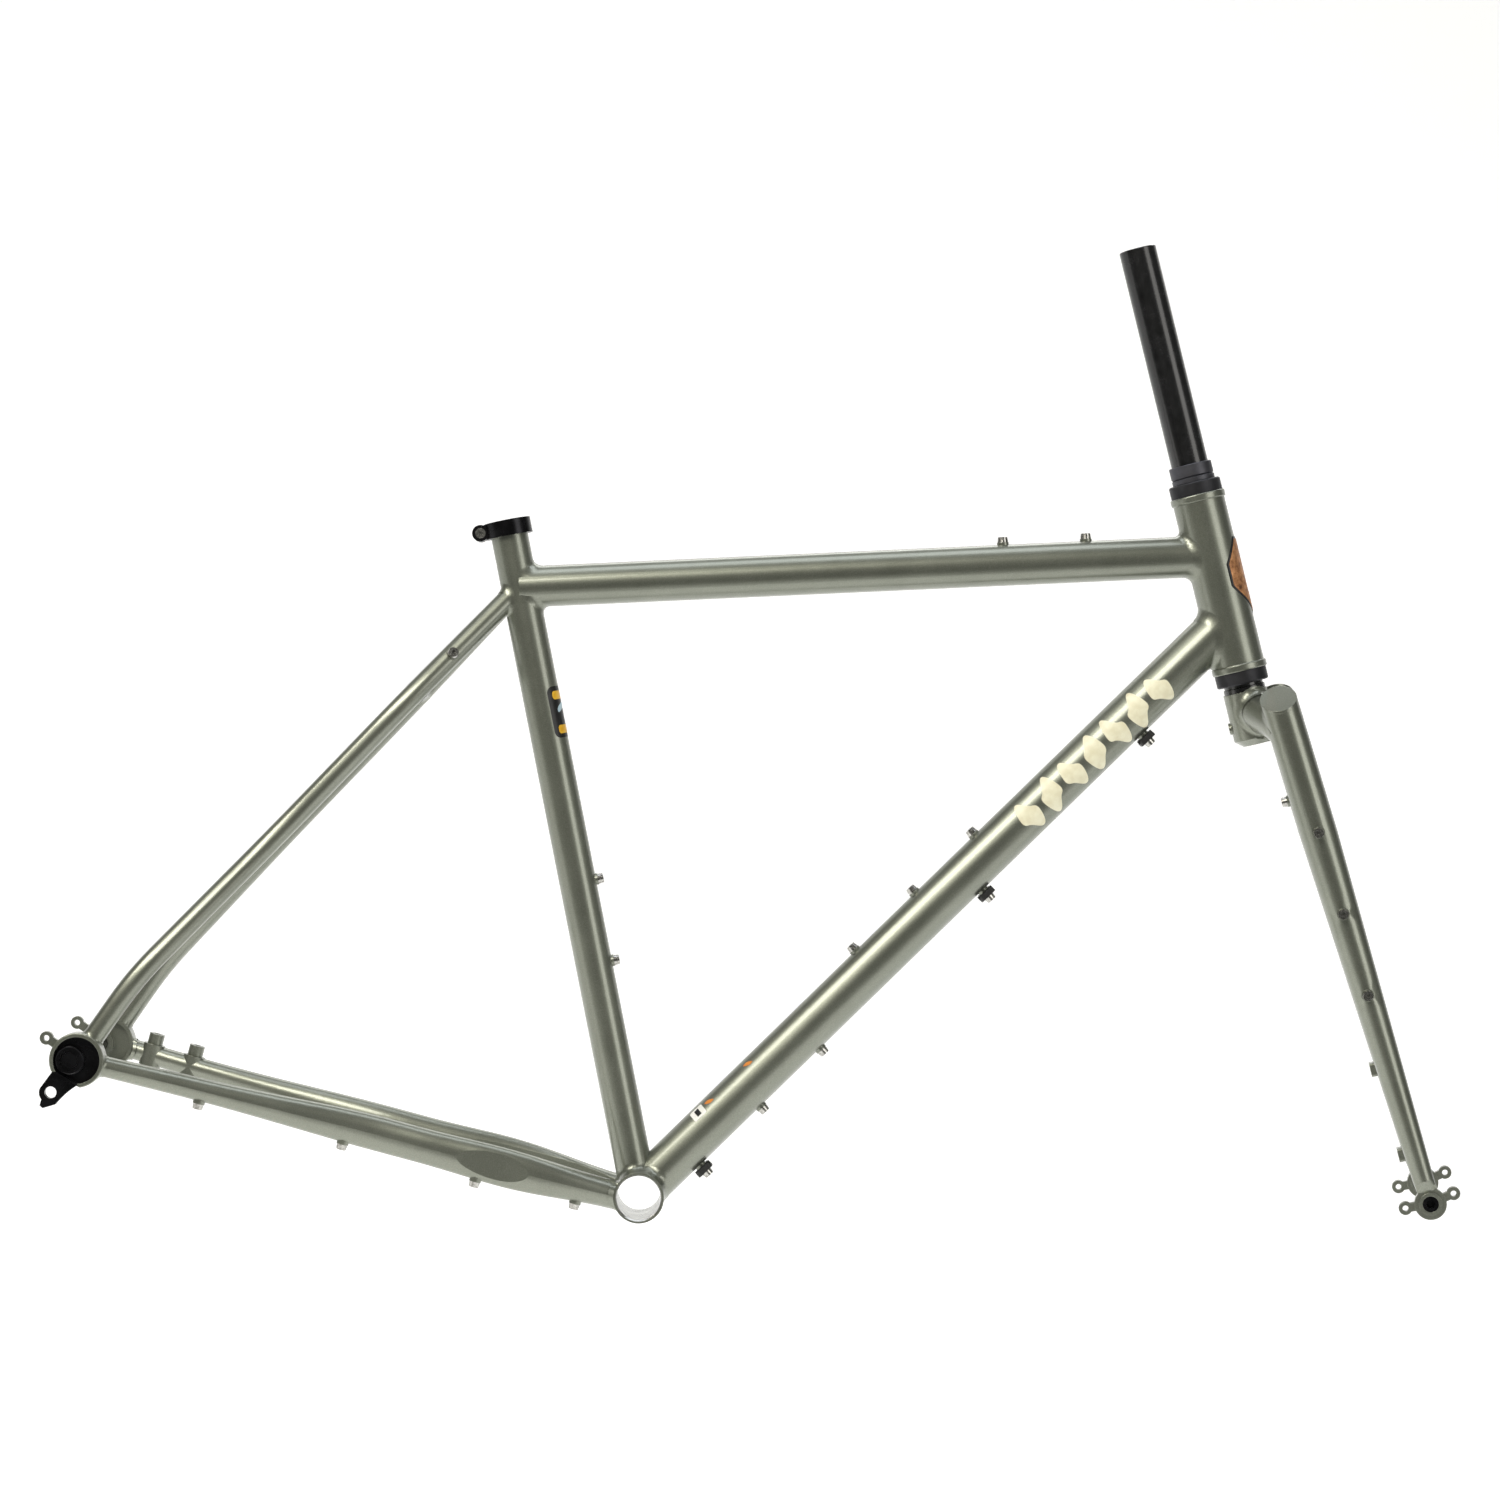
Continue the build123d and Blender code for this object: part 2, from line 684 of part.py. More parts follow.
def hanger_outline(grow=0.0):
    """Outline of the hanger arm, from the axle down and to the rear, grown by a gap all round."""
    axle_x, axle_z = rear_axle_place
    hole_x, hole_z = hanger_hole_place

    def from_axle(x, z):
        return (axle_x + x, axle_z + z)

    def from_hole(x, z):
        return (hole_x + x, hole_z + z)

    with BuildSketch() as outline:
        with BuildLine():
            Polyline(from_axle(-12.4, -3.5), from_axle(-13.4, -11.0), from_hole(-8.2, 2.4))
            ThreePointArc(from_hole(-8.2, 2.4), from_hole(-8.6, -1.0), from_hole(-6.3, -5.9))
            Polyline(from_hole(-6.3, -5.9), from_hole(-7.2, -10.6), from_hole(-4.6, -12.4), from_hole(4.6, -8.6))
            ThreePointArc(from_hole(4.6, -8.6), from_hole(9.0, -2.6), from_axle(9.0, -17.0))
            Polyline(from_axle(9.0, -17.0), from_axle(12.6, -3.2), from_axle(-12.4, -3.5))
        make_face()
        with Locations(rear_axle_place):
            Circle(hanger_disc_d / 2)
        if grow:
            offset(amount=grow)
    return outline.sketch


def dropout(side):
    """Hooded dropout: a round rim with a web across it and a mudguard eyelet behind."""
    outward = -side
    with BuildPart() as hooded:
        with BuildSketch(side_plane(side, hood_inner_face)):
            with Locations(hood_place):
                Circle(hood_d / 2)
        extrude(amount=hood_width * outward)
        fillet(hooded.edges().filter_by(GeomType.CIRCLE), hood_edge)
        if side == RIGHT:
            add(flat_cut(hood_flat, 3 * hood_width), mode=Mode.SUBTRACT)
        add(hood_pocket(hood_inner_face - 1, web_inner, side), mode=Mode.SUBTRACT)
        add(hood_pocket(web_outer, hood_outer_face + 1, side), mode=Mode.SUBTRACT)
        with BuildSketch(side_plane(side, hood_inner_face + rear_eyelet_inset)):
            with Locations(rear_eyelet_place):
                Circle(eyelet_d / 2)
            with BuildLine():
                Line(rear_eyelet_place, hood_place)
            trace(line_width=eyelet_stem)
            with Locations(hood_place):
                Circle(hood_d / 2 - hood_wall / 2, mode=Mode.SUBTRACT)
            with Locations(rear_eyelet_place):
                Circle(eyelet_hole_d / 2, mode=Mode.SUBTRACT)
        extrude(amount=eyelet_thickness * outward)
        if side == RIGHT:
            with BuildSketch(side_plane(side, hub_face - 1)) as notch:
                add(hanger_outline(hanger_notch_gap))
            extrude(amount=(web_inner - hub_face + 1) * outward, mode=Mode.SUBTRACT)
            bore_r = hanger_bolt_d / 2 + hanger_bolt_clearance
        else:
            with BuildSketch(side_plane(side, hub_face)):
                with Locations(rear_axle_place):
                    Circle(hub_boss_d / 2)
            extrude(amount=(web_inner - hub_face) * outward)
            bore_r = axle_bore_r
        with BuildSketch(side_plane(side, hub_face - 1)):
            with Locations(rear_axle_place):
                Circle(bore_r)
        extrude(amount=2 * hood_width * outward, mode=Mode.SUBTRACT)
    return hooded


for side, name in ((RIGHT, "right_dropout"), (LEFT, "left_dropout")):
    write(dropout(side), name)

with BuildPart() as derailleur_hanger:
    with BuildSketch(side_plane(RIGHT, hub_face)):
        add(hanger_outline())
        with Locations(rear_axle_place):
            Circle(hanger_bolt_d / 2, mode=Mode.SUBTRACT)
        with Locations(hanger_hole_place):
            Circle(hanger_hole_d / 2, mode=Mode.SUBTRACT)
    extrude(amount=web_inner - hub_face)
write(derailleur_hanger, "derailleur_hanger")

with BuildPart() as hanger_washer:
    with BuildSketch(side_plane(RIGHT, web_outer)):
        with Locations(rear_axle_place):
            Circle(hanger_washer_d / 2)
            Circle(hanger_bolt_d / 2 + hanger_bolt_clearance, mode=Mode.SUBTRACT)
    extrude(amount=hanger_washer_height)
write(hanger_washer, "hanger_washer")

bolt_seat = web_outer + hanger_washer_height
bolt_face = bolt_seat + hanger_bolt_head_height
with BuildPart() as hanger_bolt:
    with BuildSketch(side_plane(RIGHT, bolt_seat)):
        with Locations(rear_axle_place):
            Circle(hanger_bolt_head_d / 2)
    extrude(amount=hanger_bolt_head_height)
    with BuildSketch(side_plane(RIGHT, hub_face)):
        with Locations(rear_axle_place):
            Circle(hanger_bolt_d / 2)
    extrude(amount=bolt_seat - hub_face)
    with BuildSketch(side_plane(RIGHT, bolt_face)):
        with Locations(rear_axle_place):
            RegularPolygon(hanger_socket / 2, 6, major_radius=False)
            RegularPolygon(hanger_socket / 2, 6, major_radius=False, rotation=30)
    extrude(amount=-hanger_socket_depth, mode=Mode.SUBTRACT)
    with BuildSketch(side_plane(RIGHT, hub_face)):
        with Locations(rear_axle_place):
            Circle(axle_bore_r)
    extrude(amount=bolt_face - hub_face, mode=Mode.SUBTRACT)
    rim = hanger_bolt.edges().filter_by(
        lambda edge: edge.geom_type == GeomType.CIRCLE and abs(edge.radius - hanger_bolt_head_d / 2) < 0.01
    )
    chamfer(rim.sort_by(Axis.Y)[0], 0.6)
write(hanger_bolt, "hanger_bolt")

rear_axle_end = bolt_face - hanger_socket_depth
rear_head_seat = web_outer + axle_clearance
with BuildPart() as rear_axle:
    with BuildSketch(side_plane(LEFT, rear_head_seat)):
        with Locations(rear_axle_place):
            Circle(axle_head_d / 2)
    extrude(amount=-axle_head_height)
    chamfer(rear_axle.edges().sort_by(Axis.Y)[-1], 1.0)
    with BuildSketch(side_plane(LEFT, rear_head_seat)):
        with Locations(rear_axle_place):
            Circle(axle_d / 2)
    extrude(amount=rear_head_seat + rear_axle_end)
    with BuildSketch(side_plane(LEFT, rear_head_seat + axle_head_height)):
        with Locations(rear_axle_place):
            RegularPolygon(axle_socket / 2, 6, major_radius=False)
    extrude(amount=axle_socket_depth, mode=Mode.SUBTRACT)
write(rear_axle, "rear_axle")

print("rear end done")


# ---- seat clamp ----
clamp_foot = seat_tube_top - seat_up * (clamp_height - clamp_lip)
clamp_plane = Plane(origin=clamp_foot, x_dir=(0, 1, 0), z_dir=seat_up)
clamp_bolt_centre = clamp_foot + seat_up * (clamp_height / 2) + seat_back * clamp_bolt_behind

clamp_ear_place = clamp_bolt_centre - Vector(0, clamp_ear_width / 2, 0)
ear_plane = Plane(origin=clamp_ear_place, x_dir=seat_back, z_dir=(0, 1, 0))

with BuildPart() as seat_clamp:
    with BuildSketch(clamp_plane):
        Circle(clamp_d / 2)
    extrude(amount=clamp_height)
    with BuildSketch(ear_plane):
        Circle(clamp_ear_reach - clamp_bolt_behind)
        with Locations((-clamp_bolt_behind / 2, 0)):
            Rectangle(clamp_bolt_behind, clamp_ear_height)
    extrude(amount=clamp_ear_width)
    with BuildSketch(clamp_plane.offset(-clamp_height)):
        Circle(seat_tube_d / 2)
    extrude(amount=2 * clamp_height - clamp_lip, mode=Mode.SUBTRACT)
    with BuildSketch(clamp_plane.offset(-clamp_height)):
        Circle(seatpost_d / 2)
    extrude(amount=3 * clamp_height, mode=Mode.SUBTRACT)
    with BuildSketch(Plane(origin=clamp_foot - seat_up * clamp_height, x_dir=(0, 1, 0), z_dir=seat_back)):
        Rectangle(clamp_slot, 6 * clamp_height)
    extrude(amount=2 * clamp_ear_reach, mode=Mode.SUBTRACT)
    with BuildSketch(ear_plane):
        Circle(clamp_bolt_d / 2)
    extrude(amount=clamp_ear_width, mode=Mode.SUBTRACT)
    with BuildSketch(ear_plane):
        Circle(clamp_bolt_head_d / 2)
    extrude(amount=clamp_bolt_head_sunk, mode=Mode.SUBTRACT)
write(seat_clamp, "seat_clamp")

with BuildPart() as seat_clamp_bolt:
    with BuildSketch(ear_plane):
        Circle(clamp_bolt_head_d / 2)
        RegularPolygon(socket_d / 2, 6, mode=Mode.SUBTRACT)
    extrude(amount=clamp_bolt_head_sunk)
    with BuildSketch(ear_plane.offset(clamp_bolt_head_sunk)):
        Circle(clamp_bolt_d / 2)
    extrude(amount=clamp_ear_width - clamp_bolt_head_sunk)
write(seat_clamp_bolt, "seat_clamp_bolt")

# ---- head badge ----
badge_middle = head_bottom + head_up * badge_above_bottom
with BuildPart() as head_badge:
    with BuildSketch(Plane(origin=badge_middle, x_dir=(0, 1, 0), z_dir=head_ahead)):
        with BuildLine():
            half_w, half_h = badge_width / 2, badge_height / 2
            Polyline((0, half_h), (half_w, 0.72 * half_h), (half_w, -0.1 * half_h))
            ThreePointArc((half_w, -0.1 * half_h), (0.66 * half_w, -0.66 * half_h), (0, -half_h))
            ThreePointArc((0, -half_h), (-0.66 * half_w, -0.66 * half_h), (-half_w, -0.1 * half_h))
            Polyline((-half_w, -0.1 * half_h), (-half_w, 0.72 * half_h), (0, half_h))
        make_face()
    extrude(amount=head_tube_d)
    with BuildSketch(Plane(origin=badge_middle - head_up * badge_height, z_dir=head_up)):
        Circle(head_tube_d / 2 + badge_thickness)
    extrude(amount=2 * badge_height, mode=Mode.INTERSECT)
    with BuildSketch(Plane(origin=badge_middle - head_up * badge_height, z_dir=head_up)):
        Circle(head_tube_d / 2)
    extrude(amount=2 * badge_height, mode=Mode.SUBTRACT)
write(head_badge, "head_badge")

# ---- bosses, bolts and cable guides ----
right_chainstay_places = chainstay_places(RIGHT)
write(bosses(seat_tube_places), "seat_tube_bosses")
write(bolts(seat_tube_places, boss_proud), "seat_tube_bolts")
write(bosses(down_tube_places + guide_places), "down_tube_bosses")
write(bolts(down_tube_places, boss_proud), "down_tube_bolts")
write(bosses(top_tube_places), "top_tube_bosses")
write(bolts(top_tube_places, boss_proud), "top_tube_bolts")
write(bosses(right_chainstay_places), "chainstay_bosses")
write(bolts(right_chainstay_places, boss_proud), "chainstay_bolts")
write(bosses(rack_places), "rack_bosses")
write(bolts(rack_places, boss_proud), "rack_bolts")
write(bolts(guide_places, boss_proud + guide_height), "cable_guide_bolts")

with BuildPart() as cable_guides:
    for place in guide_places:
        foot = place.offset(boss_proud)
        with BuildSketch(foot):
            RectangleRounded(guide_length, guide_width, 3)
            Circle(bolt_shank_d / 2, mode=Mode.SUBTRACT)
        extrude(amount=guide_height)
        for spread in (-guide_groove_spread, guide_groove_spread):
            groove = foot.origin + foot.y_dir * spread
            add(bar(groove - foot.x_dir * guide_length, groove + foot.x_dir * guide_length, guide_groove_d / 2),
                mode=Mode.SUBTRACT)
write(cable_guides, "cable_guides")

print("fittings done")


# ---- headset ----
def turned(base, profile):
    """Ring turned about the steering axis, from (radius, height above base) points."""
    with BuildPart() as ring:
        with BuildSketch(Plane(origin=base, x_dir=head_ahead, z_dir=(0, -1, 0))):
            with BuildLine():
                Polyline(*profile, close=True)
            make_face()
        revolve(axis=Axis(base, head_up))
    return ring


cup_bore_r = bearing_bore_d / 2 + cup_bore_clearance
bearing_seat = cup_height - bearing_gap - bearing_height


def cup(base, up):
    """Cup with its skirt pressed into the head tube; up is +1 for the upper cup, -1 for the lower."""
    profile = [
        (cup_d / 2, 0),
        (cup_d / 2, up * (cup_height - cup_edge)),
        (cup_d / 2 - cup_edge, up * cup_height),
        (bearing_d / 2, up * cup_height),
        (bearing_d / 2, up * bearing_seat),
        (cup_bore_r, up * bearing_seat),
        (cup_bore_r, -up * cup_skirt),
        (head_bore_d / 2, -up * cup_skirt),
        (head_bore_d / 2, 0),
    ]
    return turned(base, profile)


def bearing(base, up):
    near, far = up * bearing_seat, up * (bearing_seat + bearing_height)
    profile = [
        (bearing_bore_d / 2, near),
        (bearing_bore_d / 2, far),
        (bearing_d / 2, far),
        (bearing_d / 2, near),
    ]
    return turned(base, profile)


write(cup(head_top, 1), "upper_cup")
write(bearing(head_top, 1), "upper_bearing")
write(cup(head_bottom, -1), "lower_cup")
write(bearing(head_bottom, -1), "lower_bearing")

ring_r = bearing_bore_d / 2 - bearing_clearance
cover_foot = cup_height + cover_gap
compression_ring = turned(
    head_top,
    [
        (steerer_d / 2, bearing_seat + race_inset),
        (steerer_d / 2, cover_foot),
        (ring_r, cover_foot),
        (ring_r, bearing_seat + race_inset),
    ],
)
write(compression_ring, "compression_ring")

top_cover = turned(
    head_top,
    [
        (steerer_d / 2, cover_foot),
        (cover_d / 2, cover_foot),
        (cover_d / 2, cover_foot + cover_height - cover_edge),
        (cover_d / 2 - cover_edge, cover_foot + cover_height),
        (steerer_d / 2, cover_foot + cover_height),
    ],
)
write(top_cover, "top_cover")

spacer_foot = cover_foot + cover_height + spacer_gap
spacer_top = spacer_foot + spacer_height
spacer_bore_r = steerer_d / 2 + spacer_clearance
headset_spacer = turned(
    head_top,
    [
        (spacer_bore_r, spacer_foot),
        (cover_d / 2 - spacer_edge, spacer_foot),
        (cover_d / 2, spacer_foot + spacer_edge),
        (cover_d / 2, spacer_top - spacer_edge),
        (cover_d / 2 - spacer_edge, spacer_top),
        (spacer_bore_r, spacer_top),
    ],
)
write(headset_spacer, "headset_spacer")

race_top = -bearing_seat - race_inset
crown_race = turned(
    head_bottom,
    [
        (steerer_d / 2, race_top),
        (ring_r, race_top),
        (ring_r, -cup_height - race_neck),
        (ring_r + race_flange, -cup_height - race_neck - race_flange / 2),
        (ring_r + race_flange, -sleeve_gap),
        (steerer_d / 2, -sleeve_gap),
    ],
)
write(crown_race, "crown_race")

# ---- fork crown ----
steerer_end = sleeve_gap + sleeve_length - sleeve_floor
steerer_top = head_tube_length + steerer_above
sleeve_end = sleeve_gap + sleeve_length
steerer = turned(
    head_bottom,
    [
        (steerer_d / 2 - steerer_wall, -steerer_end),
        (steerer_d / 2, -steerer_end),
        (steerer_d / 2, steerer_top - steerer_chamfer),
        (steerer_d / 2 - steerer_chamfer, steerer_top),
        (steerer_d / 2 - steerer_wall, steerer_top),
    ],
)
write(steerer, "steerer")


def leg_point(side, down):
    """Point of the leg's axis, this far below the head tube's bottom face."""
    share = (down - leg_top) / (axle_below_head - leg_top)
    ahead = fork_rake - (axle_below_head - down) * sin(radians(leg_tilt)) / cos(radians(leg_tilt))
    return fork_point(ahead, side * (leg_spread_top + share * (leg_spread_axle - leg_spread_top)), down)


def leg_radius(down):
    """Outer radius of the leg, which narrows evenly towards the dropout."""
    narrowing = (down - leg_taper_start) / (axle_below_head - leg_end_above_axle - leg_taper_start)
    return leg_d / 2 + (leg_end_d - leg_d) / 2 * min(max(narrowing, 0), 1)


def leg_form(side, inside):
    """The leg as a solid bar, longer than the leg at its top, taken in by a wall."""
    stations = (leg_top - leg_d, leg_taper_start, axle_below_head - leg_end_above_axle)
    with BuildPart() as form:
        for high, low in zip(stations, stations[1:]):
            start, end = leg_point(side, high), leg_point(side, low)
            for centre, radius in ((start, leg_radius(high)), (end, leg_radius(low))):
                with BuildSketch(Plane(origin=centre, x_dir=fork_left, z_dir=(end - start).normalized())):
                    Circle(radius - inside)
            loft(ruled=True)
    return form.part


def leg_cap_plane(side, above):
    """Slanted plane across the leg's top, facing up and outboard."""
    tilt = radians(leg_cap_angle)
    outboard = fork_direction(0, side, 0)
    facing = head_up * cos(tilt) + outboard * sin(tilt)
    return Plane(origin=leg_point(side, leg_top) + facing * above, x_dir=fork_ahead, z_dir=facing)


def top_cut(side, above):
    with BuildPart() as block:
        with BuildSketch(leg_cap_plane(side, above)):
            Circle(2 * leg_d)
        extrude(amount=3 * leg_d)
    return block.part


def fork_place(side, down):
    """Place of a boss on the outer face of a fork leg."""
    outboard = fork_direction(0, side, 0)
    return Plane(origin=leg_point(side, down) + outboard * leg_radius(down), x_dir=head_up, z_dir=outboard)


def leg_rear_place(side, down):
    """Place on the rear face of a fork leg."""
    behind = fork_ahead * -1
    return Plane(origin=leg_point(side, down) + behind * leg_radius(down), x_dir=head_up, z_dir=behind)


fork_places = {
    side: [fork_place(side, fork_boss_first + i * fork_boss_spacing) for i in range(3)]
    for side in (RIGHT, LEFT)
}
fork_places[LEFT].append(leg_rear_place(LEFT, hose_guide_below))
fork_mount_places = [
    leg_rear_place(LEFT, fork_mount_first + i * fork_mount_spacing) for i in range(2)
]

sleeve_bar = bar(head_bottom - head_up * (sleeve_end + 5), head_bottom, sleeve_d / 2)
steerer_bar = bar(head_bottom - head_up * steerer_end, head_top, steerer_d / 2)


def fork_leg(side):
    with BuildPart() as leg:
        add(leg_form(side, 0))
        add(leg_form(side, leg_wall), mode=Mode.SUBTRACT)
        add(top_cut(side, 0), mode=Mode.SUBTRACT)
        add(boss_holes(fork_places[side]), mode=Mode.SUBTRACT)
        if side == LEFT:
            add(boss_holes(fork_mount_places), mode=Mode.SUBTRACT)
    return leg


def leg_cap(side):
    """Flat cap brazed over the leg's slanted end."""
    with BuildPart() as cap:
        add(leg_form(side, 0))
        with BuildSketch(leg_cap_plane(side, 0)):
            Circle(2 * leg_d)
        extrude(amount=leg_cap_thickness, mode=Mode.INTERSECT)
    return cap


arm_start = fork_point(0, 0, arm_from)


def crown_arm(side):
    """Tube from the crown sleeve out to a leg, mitred to both."""
    end = leg_point(side, arm_to)
    with BuildPart() as arm:
        with BuildSketch(Plane(origin=arm_start, z_dir=(end - arm_start).normalized())):
            Circle(arm_d / 2)
            Circle(arm_d / 2 - arm_wall, mode=Mode.SUBTRACT)
        extrude(amount=(end - arm_start).length)
        add(sleeve_bar, mode=Mode.SUBTRACT)
        add(leg_form(side, 0), mode=Mode.SUBTRACT)
        add(top_cut(side, 0), mode=Mode.SUBTRACT)
    return arm


crown_boss_place = Plane(
    origin=fork_point(0, 0, crown_boss_below) - fork_ahead * (sleeve_d / 2),
    x_dir=fork_left,
    z_dir=fork_ahead * -1,
)
sleeve_turned = turned(
    head_bottom,
    [
        (0, -sleeve_end),
        (sleeve_d / 2 - sleeve_chamfer_radial, -sleeve_end),
        (sleeve_d / 2, -sleeve_end + sleeve_chamfer_axial),
        (sleeve_d / 2, -sleeve_gap),
        (steerer_d / 2, -sleeve_gap),
        (steerer_d / 2, -steerer_end),
        (0, -steerer_end),
    ],
)
with BuildPart() as crown_sleeve:
    add(sleeve_turned.part)
    with BuildSketch(crown_boss_place.offset(-sleeve_d / 2)):
        Circle(boss_d / 2)
    extrude(amount=sleeve_d / 2 + boss_proud)
    add(steerer_bar, mode=Mode.SUBTRACT)
    with BuildSketch(crown_boss_place.offset(boss_proud)):
        Circle(bolt_shank_d / 2)
    extrude(amount=-sleeve_d / 2, mode=Mode.SUBTRACT)
write(crown_sleeve, "crown_sleeve")

for side, name in ((RIGHT, "right"), (LEFT, "left")):
    write(fork_leg(side), f"{name}_fork_leg")
    write(leg_cap(side), f"{name}_leg_cap")
    write(crown_arm(side), f"{name}_crown_arm")

print("fork legs done")

write(bosses(fork_places[RIGHT] + fork_places[LEFT]), "fork_bosses")
write(bolts(fork_places[RIGHT] + fork_places[LEFT], boss_proud), "fork_bolts")

with BuildPart() as fork_brake_mounts:
    for place in fork_mount_places:
        with BuildSketch(place.offset(-boss_inside)):
            RectangleRounded(fork_mount_length, fork_mount_width, 2)
        extrude(amount=boss_inside + fork_mount_proud)
    add(leg_form(LEFT, 0), mode=Mode.SUBTRACT)
    for place in fork_mount_places:
        with BuildSketch(place.offset(-boss_inside)):
            Circle(boss_d / 2)
        extrude(amount=boss_inside)
        with BuildSketch(place.offset(-boss_inside)):
            Circle(fork_mount_hole_d / 2)
        extrude(amount=boss_inside + fork_mount_proud, mode=Mode.SUBTRACT)
write(fork_brake_mounts, "fork_brake_mounts")


# ---- fork dropouts and front axle ----
front_axle_place = (fork_rake, -axle_below_head)
front_hub_face = front_hub_width / 2
fork_plate_inner = front_hub_face + fork_plate_inset
fork_plate_outer = fork_plate_inner + fork_plate_thickness


def fork_dropout(side):
    """Round plate at the leg's end, with a tongue brazed into the leg and two mudguard eyelets."""
    outward = -side
    leg_foot = axle_below_head - leg_end_above_axle
    plate_middle = (fork_plate_inner + fork_plate_outer) / 2
    tongue_foot = fork_point(fork_rake, side * plate_middle, axle_below_head - fork_plate_d / 2 + 3)
    leg_down = (leg_point(side, leg_foot) - leg_point(side, leg_taper_start)).normalized()
    eyelets = [
        (fork_rake + ahead, above - axle_below_head)
        for ahead, above in (front_eyelet_rear, front_eyelet_front)
    ]
    with BuildPart() as plate:
        with BuildSketch(Plane(origin=leg_point(side, leg_foot), x_dir=fork_left, z_dir=leg_down)):
            Circle(leg_end_d / 2)
        with BuildSketch(Plane(origin=tongue_foot, x_dir=fork_left, z_dir=head_up * -1)):
            Rectangle(fork_plate_thickness - 2 * fork_tongue_inset, fork_tongue_width)
        loft()
        with BuildSketch(fork_side_plane(side, fork_plate_inner)):
            with Locations(front_axle_place):
                Circle(fork_plate_d / 2)
        extrude(amount=fork_plate_thickness * outward)
        with BuildSketch(fork_side_plane(side, plate_middle - eyelet_thickness / 2)):
            with Locations(*eyelets):
                Circle(eyelet_d / 2)
            with BuildLine():
                Polyline(eyelets[0], front_axle_place, eyelets[1])
            trace(line_width=eyelet_stem)
        extrude(amount=eyelet_thickness * outward)
        with BuildSketch(fork_side_plane(side, front_hub_face)):
            with Locations(front_axle_place):
                Circle(fork_plate_boss_d / 2)
        extrude(amount=(fork_plate_outer + fork_plate_boss - front_hub_face) * outward)
        with BuildSketch(fork_side_plane(side, front_hub_face - 1)):
            with Locations(front_axle_place):
                Circle(axle_bore_r)
            with Locations(*eyelets):
                Circle(eyelet_hole_d / 2)
        extrude(amount=2 * leg_d * outward, mode=Mode.SUBTRACT)
    return plate


write(fork_dropout(RIGHT), "right_fork_dropout")
write(fork_dropout(LEFT), "left_fork_dropout")

front_head_seat = fork_plate_outer + fork_plate_boss + axle_clearance
front_axle_end = fork_plate_outer + fork_plate_boss - front_axle_short
with BuildPart() as front_axle:
    with BuildSketch(fork_side_plane(LEFT, front_head_seat)):
        with Locations(front_axle_place):
            Circle(front_axle_head_d / 2)
    extrude(amount=-axle_head_height)
    with BuildSketch(fork_side_plane(LEFT, front_head_seat)):
        with Locations(front_axle_place):
            Circle(axle_d / 2)
    extrude(amount=front_head_seat + front_axle_end)
    for reach, inward in ((front_head_seat + axle_head_height, 1), (-front_axle_end, -1)):
        with BuildSketch(fork_side_plane(LEFT, reach)):
            with Locations(front_axle_place):
                RegularPolygon(axle_socket / 2, 6, major_radius=False)
        extrude(amount=axle_socket_depth * inward, mode=Mode.SUBTRACT)
write(front_axle, "front_axle")

print("fork done")
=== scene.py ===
import math

import bpy
import numpy as np
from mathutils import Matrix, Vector


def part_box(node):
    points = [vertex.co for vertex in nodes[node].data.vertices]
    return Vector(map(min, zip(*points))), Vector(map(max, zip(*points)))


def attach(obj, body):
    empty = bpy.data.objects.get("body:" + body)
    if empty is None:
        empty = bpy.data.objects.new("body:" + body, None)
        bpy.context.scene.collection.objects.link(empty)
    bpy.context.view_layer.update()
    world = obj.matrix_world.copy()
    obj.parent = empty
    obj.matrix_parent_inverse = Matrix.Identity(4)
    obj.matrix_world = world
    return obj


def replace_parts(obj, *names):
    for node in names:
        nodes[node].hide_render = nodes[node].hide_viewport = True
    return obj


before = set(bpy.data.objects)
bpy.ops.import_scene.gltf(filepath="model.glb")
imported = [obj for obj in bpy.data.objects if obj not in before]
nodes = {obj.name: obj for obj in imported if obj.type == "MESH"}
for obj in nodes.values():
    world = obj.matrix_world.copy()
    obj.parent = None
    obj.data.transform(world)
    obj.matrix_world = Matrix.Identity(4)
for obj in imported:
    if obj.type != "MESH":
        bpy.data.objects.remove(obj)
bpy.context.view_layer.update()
mm = 0.001

print("frame loaded")


# the camera stands 3 m to the right of the bicycle, level, and leans with the object's slight roll
camera = {"place": (-0.0092, -3.0, 0.3636), "roll": 5.96, "lens": 93.3, "sensor": 36, "shift": (0.0493, -0.018)}


def addCamera():
    data = bpy.data.cameras.new("camera")
    data.lens = camera["lens"]
    data.sensor_width = camera["sensor"]
    data.shift_x, data.shift_y = camera["shift"]
    view = bpy.data.objects.new("camera", data)
    view.location = camera["place"]
    view.rotation_euler = (math.radians(90), -math.radians(camera["roll"]), 0)
    bpy.context.scene.collection.objects.link(view)
    bpy.context.scene.camera = view


# a white sweep: floor, a wide curve and a back wall, in metres
studio = {
    "floorZ": -0.30,
    "halfWidth": 7.0,
    "front": -4.5,
    "back": 2.6,
    "height": 5.0,
    "curve": 1.2,
    "curveSteps": 12,
    "pool": (-1.15, -0.75),     # the floor is dark before the first of these depths and white past the second
    "dusk": "#4A4B48",
    "white": ("#F4F4F3", "#F8F8F7"),
    "tone": 0.9,                # width of one faint patch of the paint
    # painted glow: how strongly the white part of the floor and wall emits light, though it is no lamp
    "glow": 0.42,
}

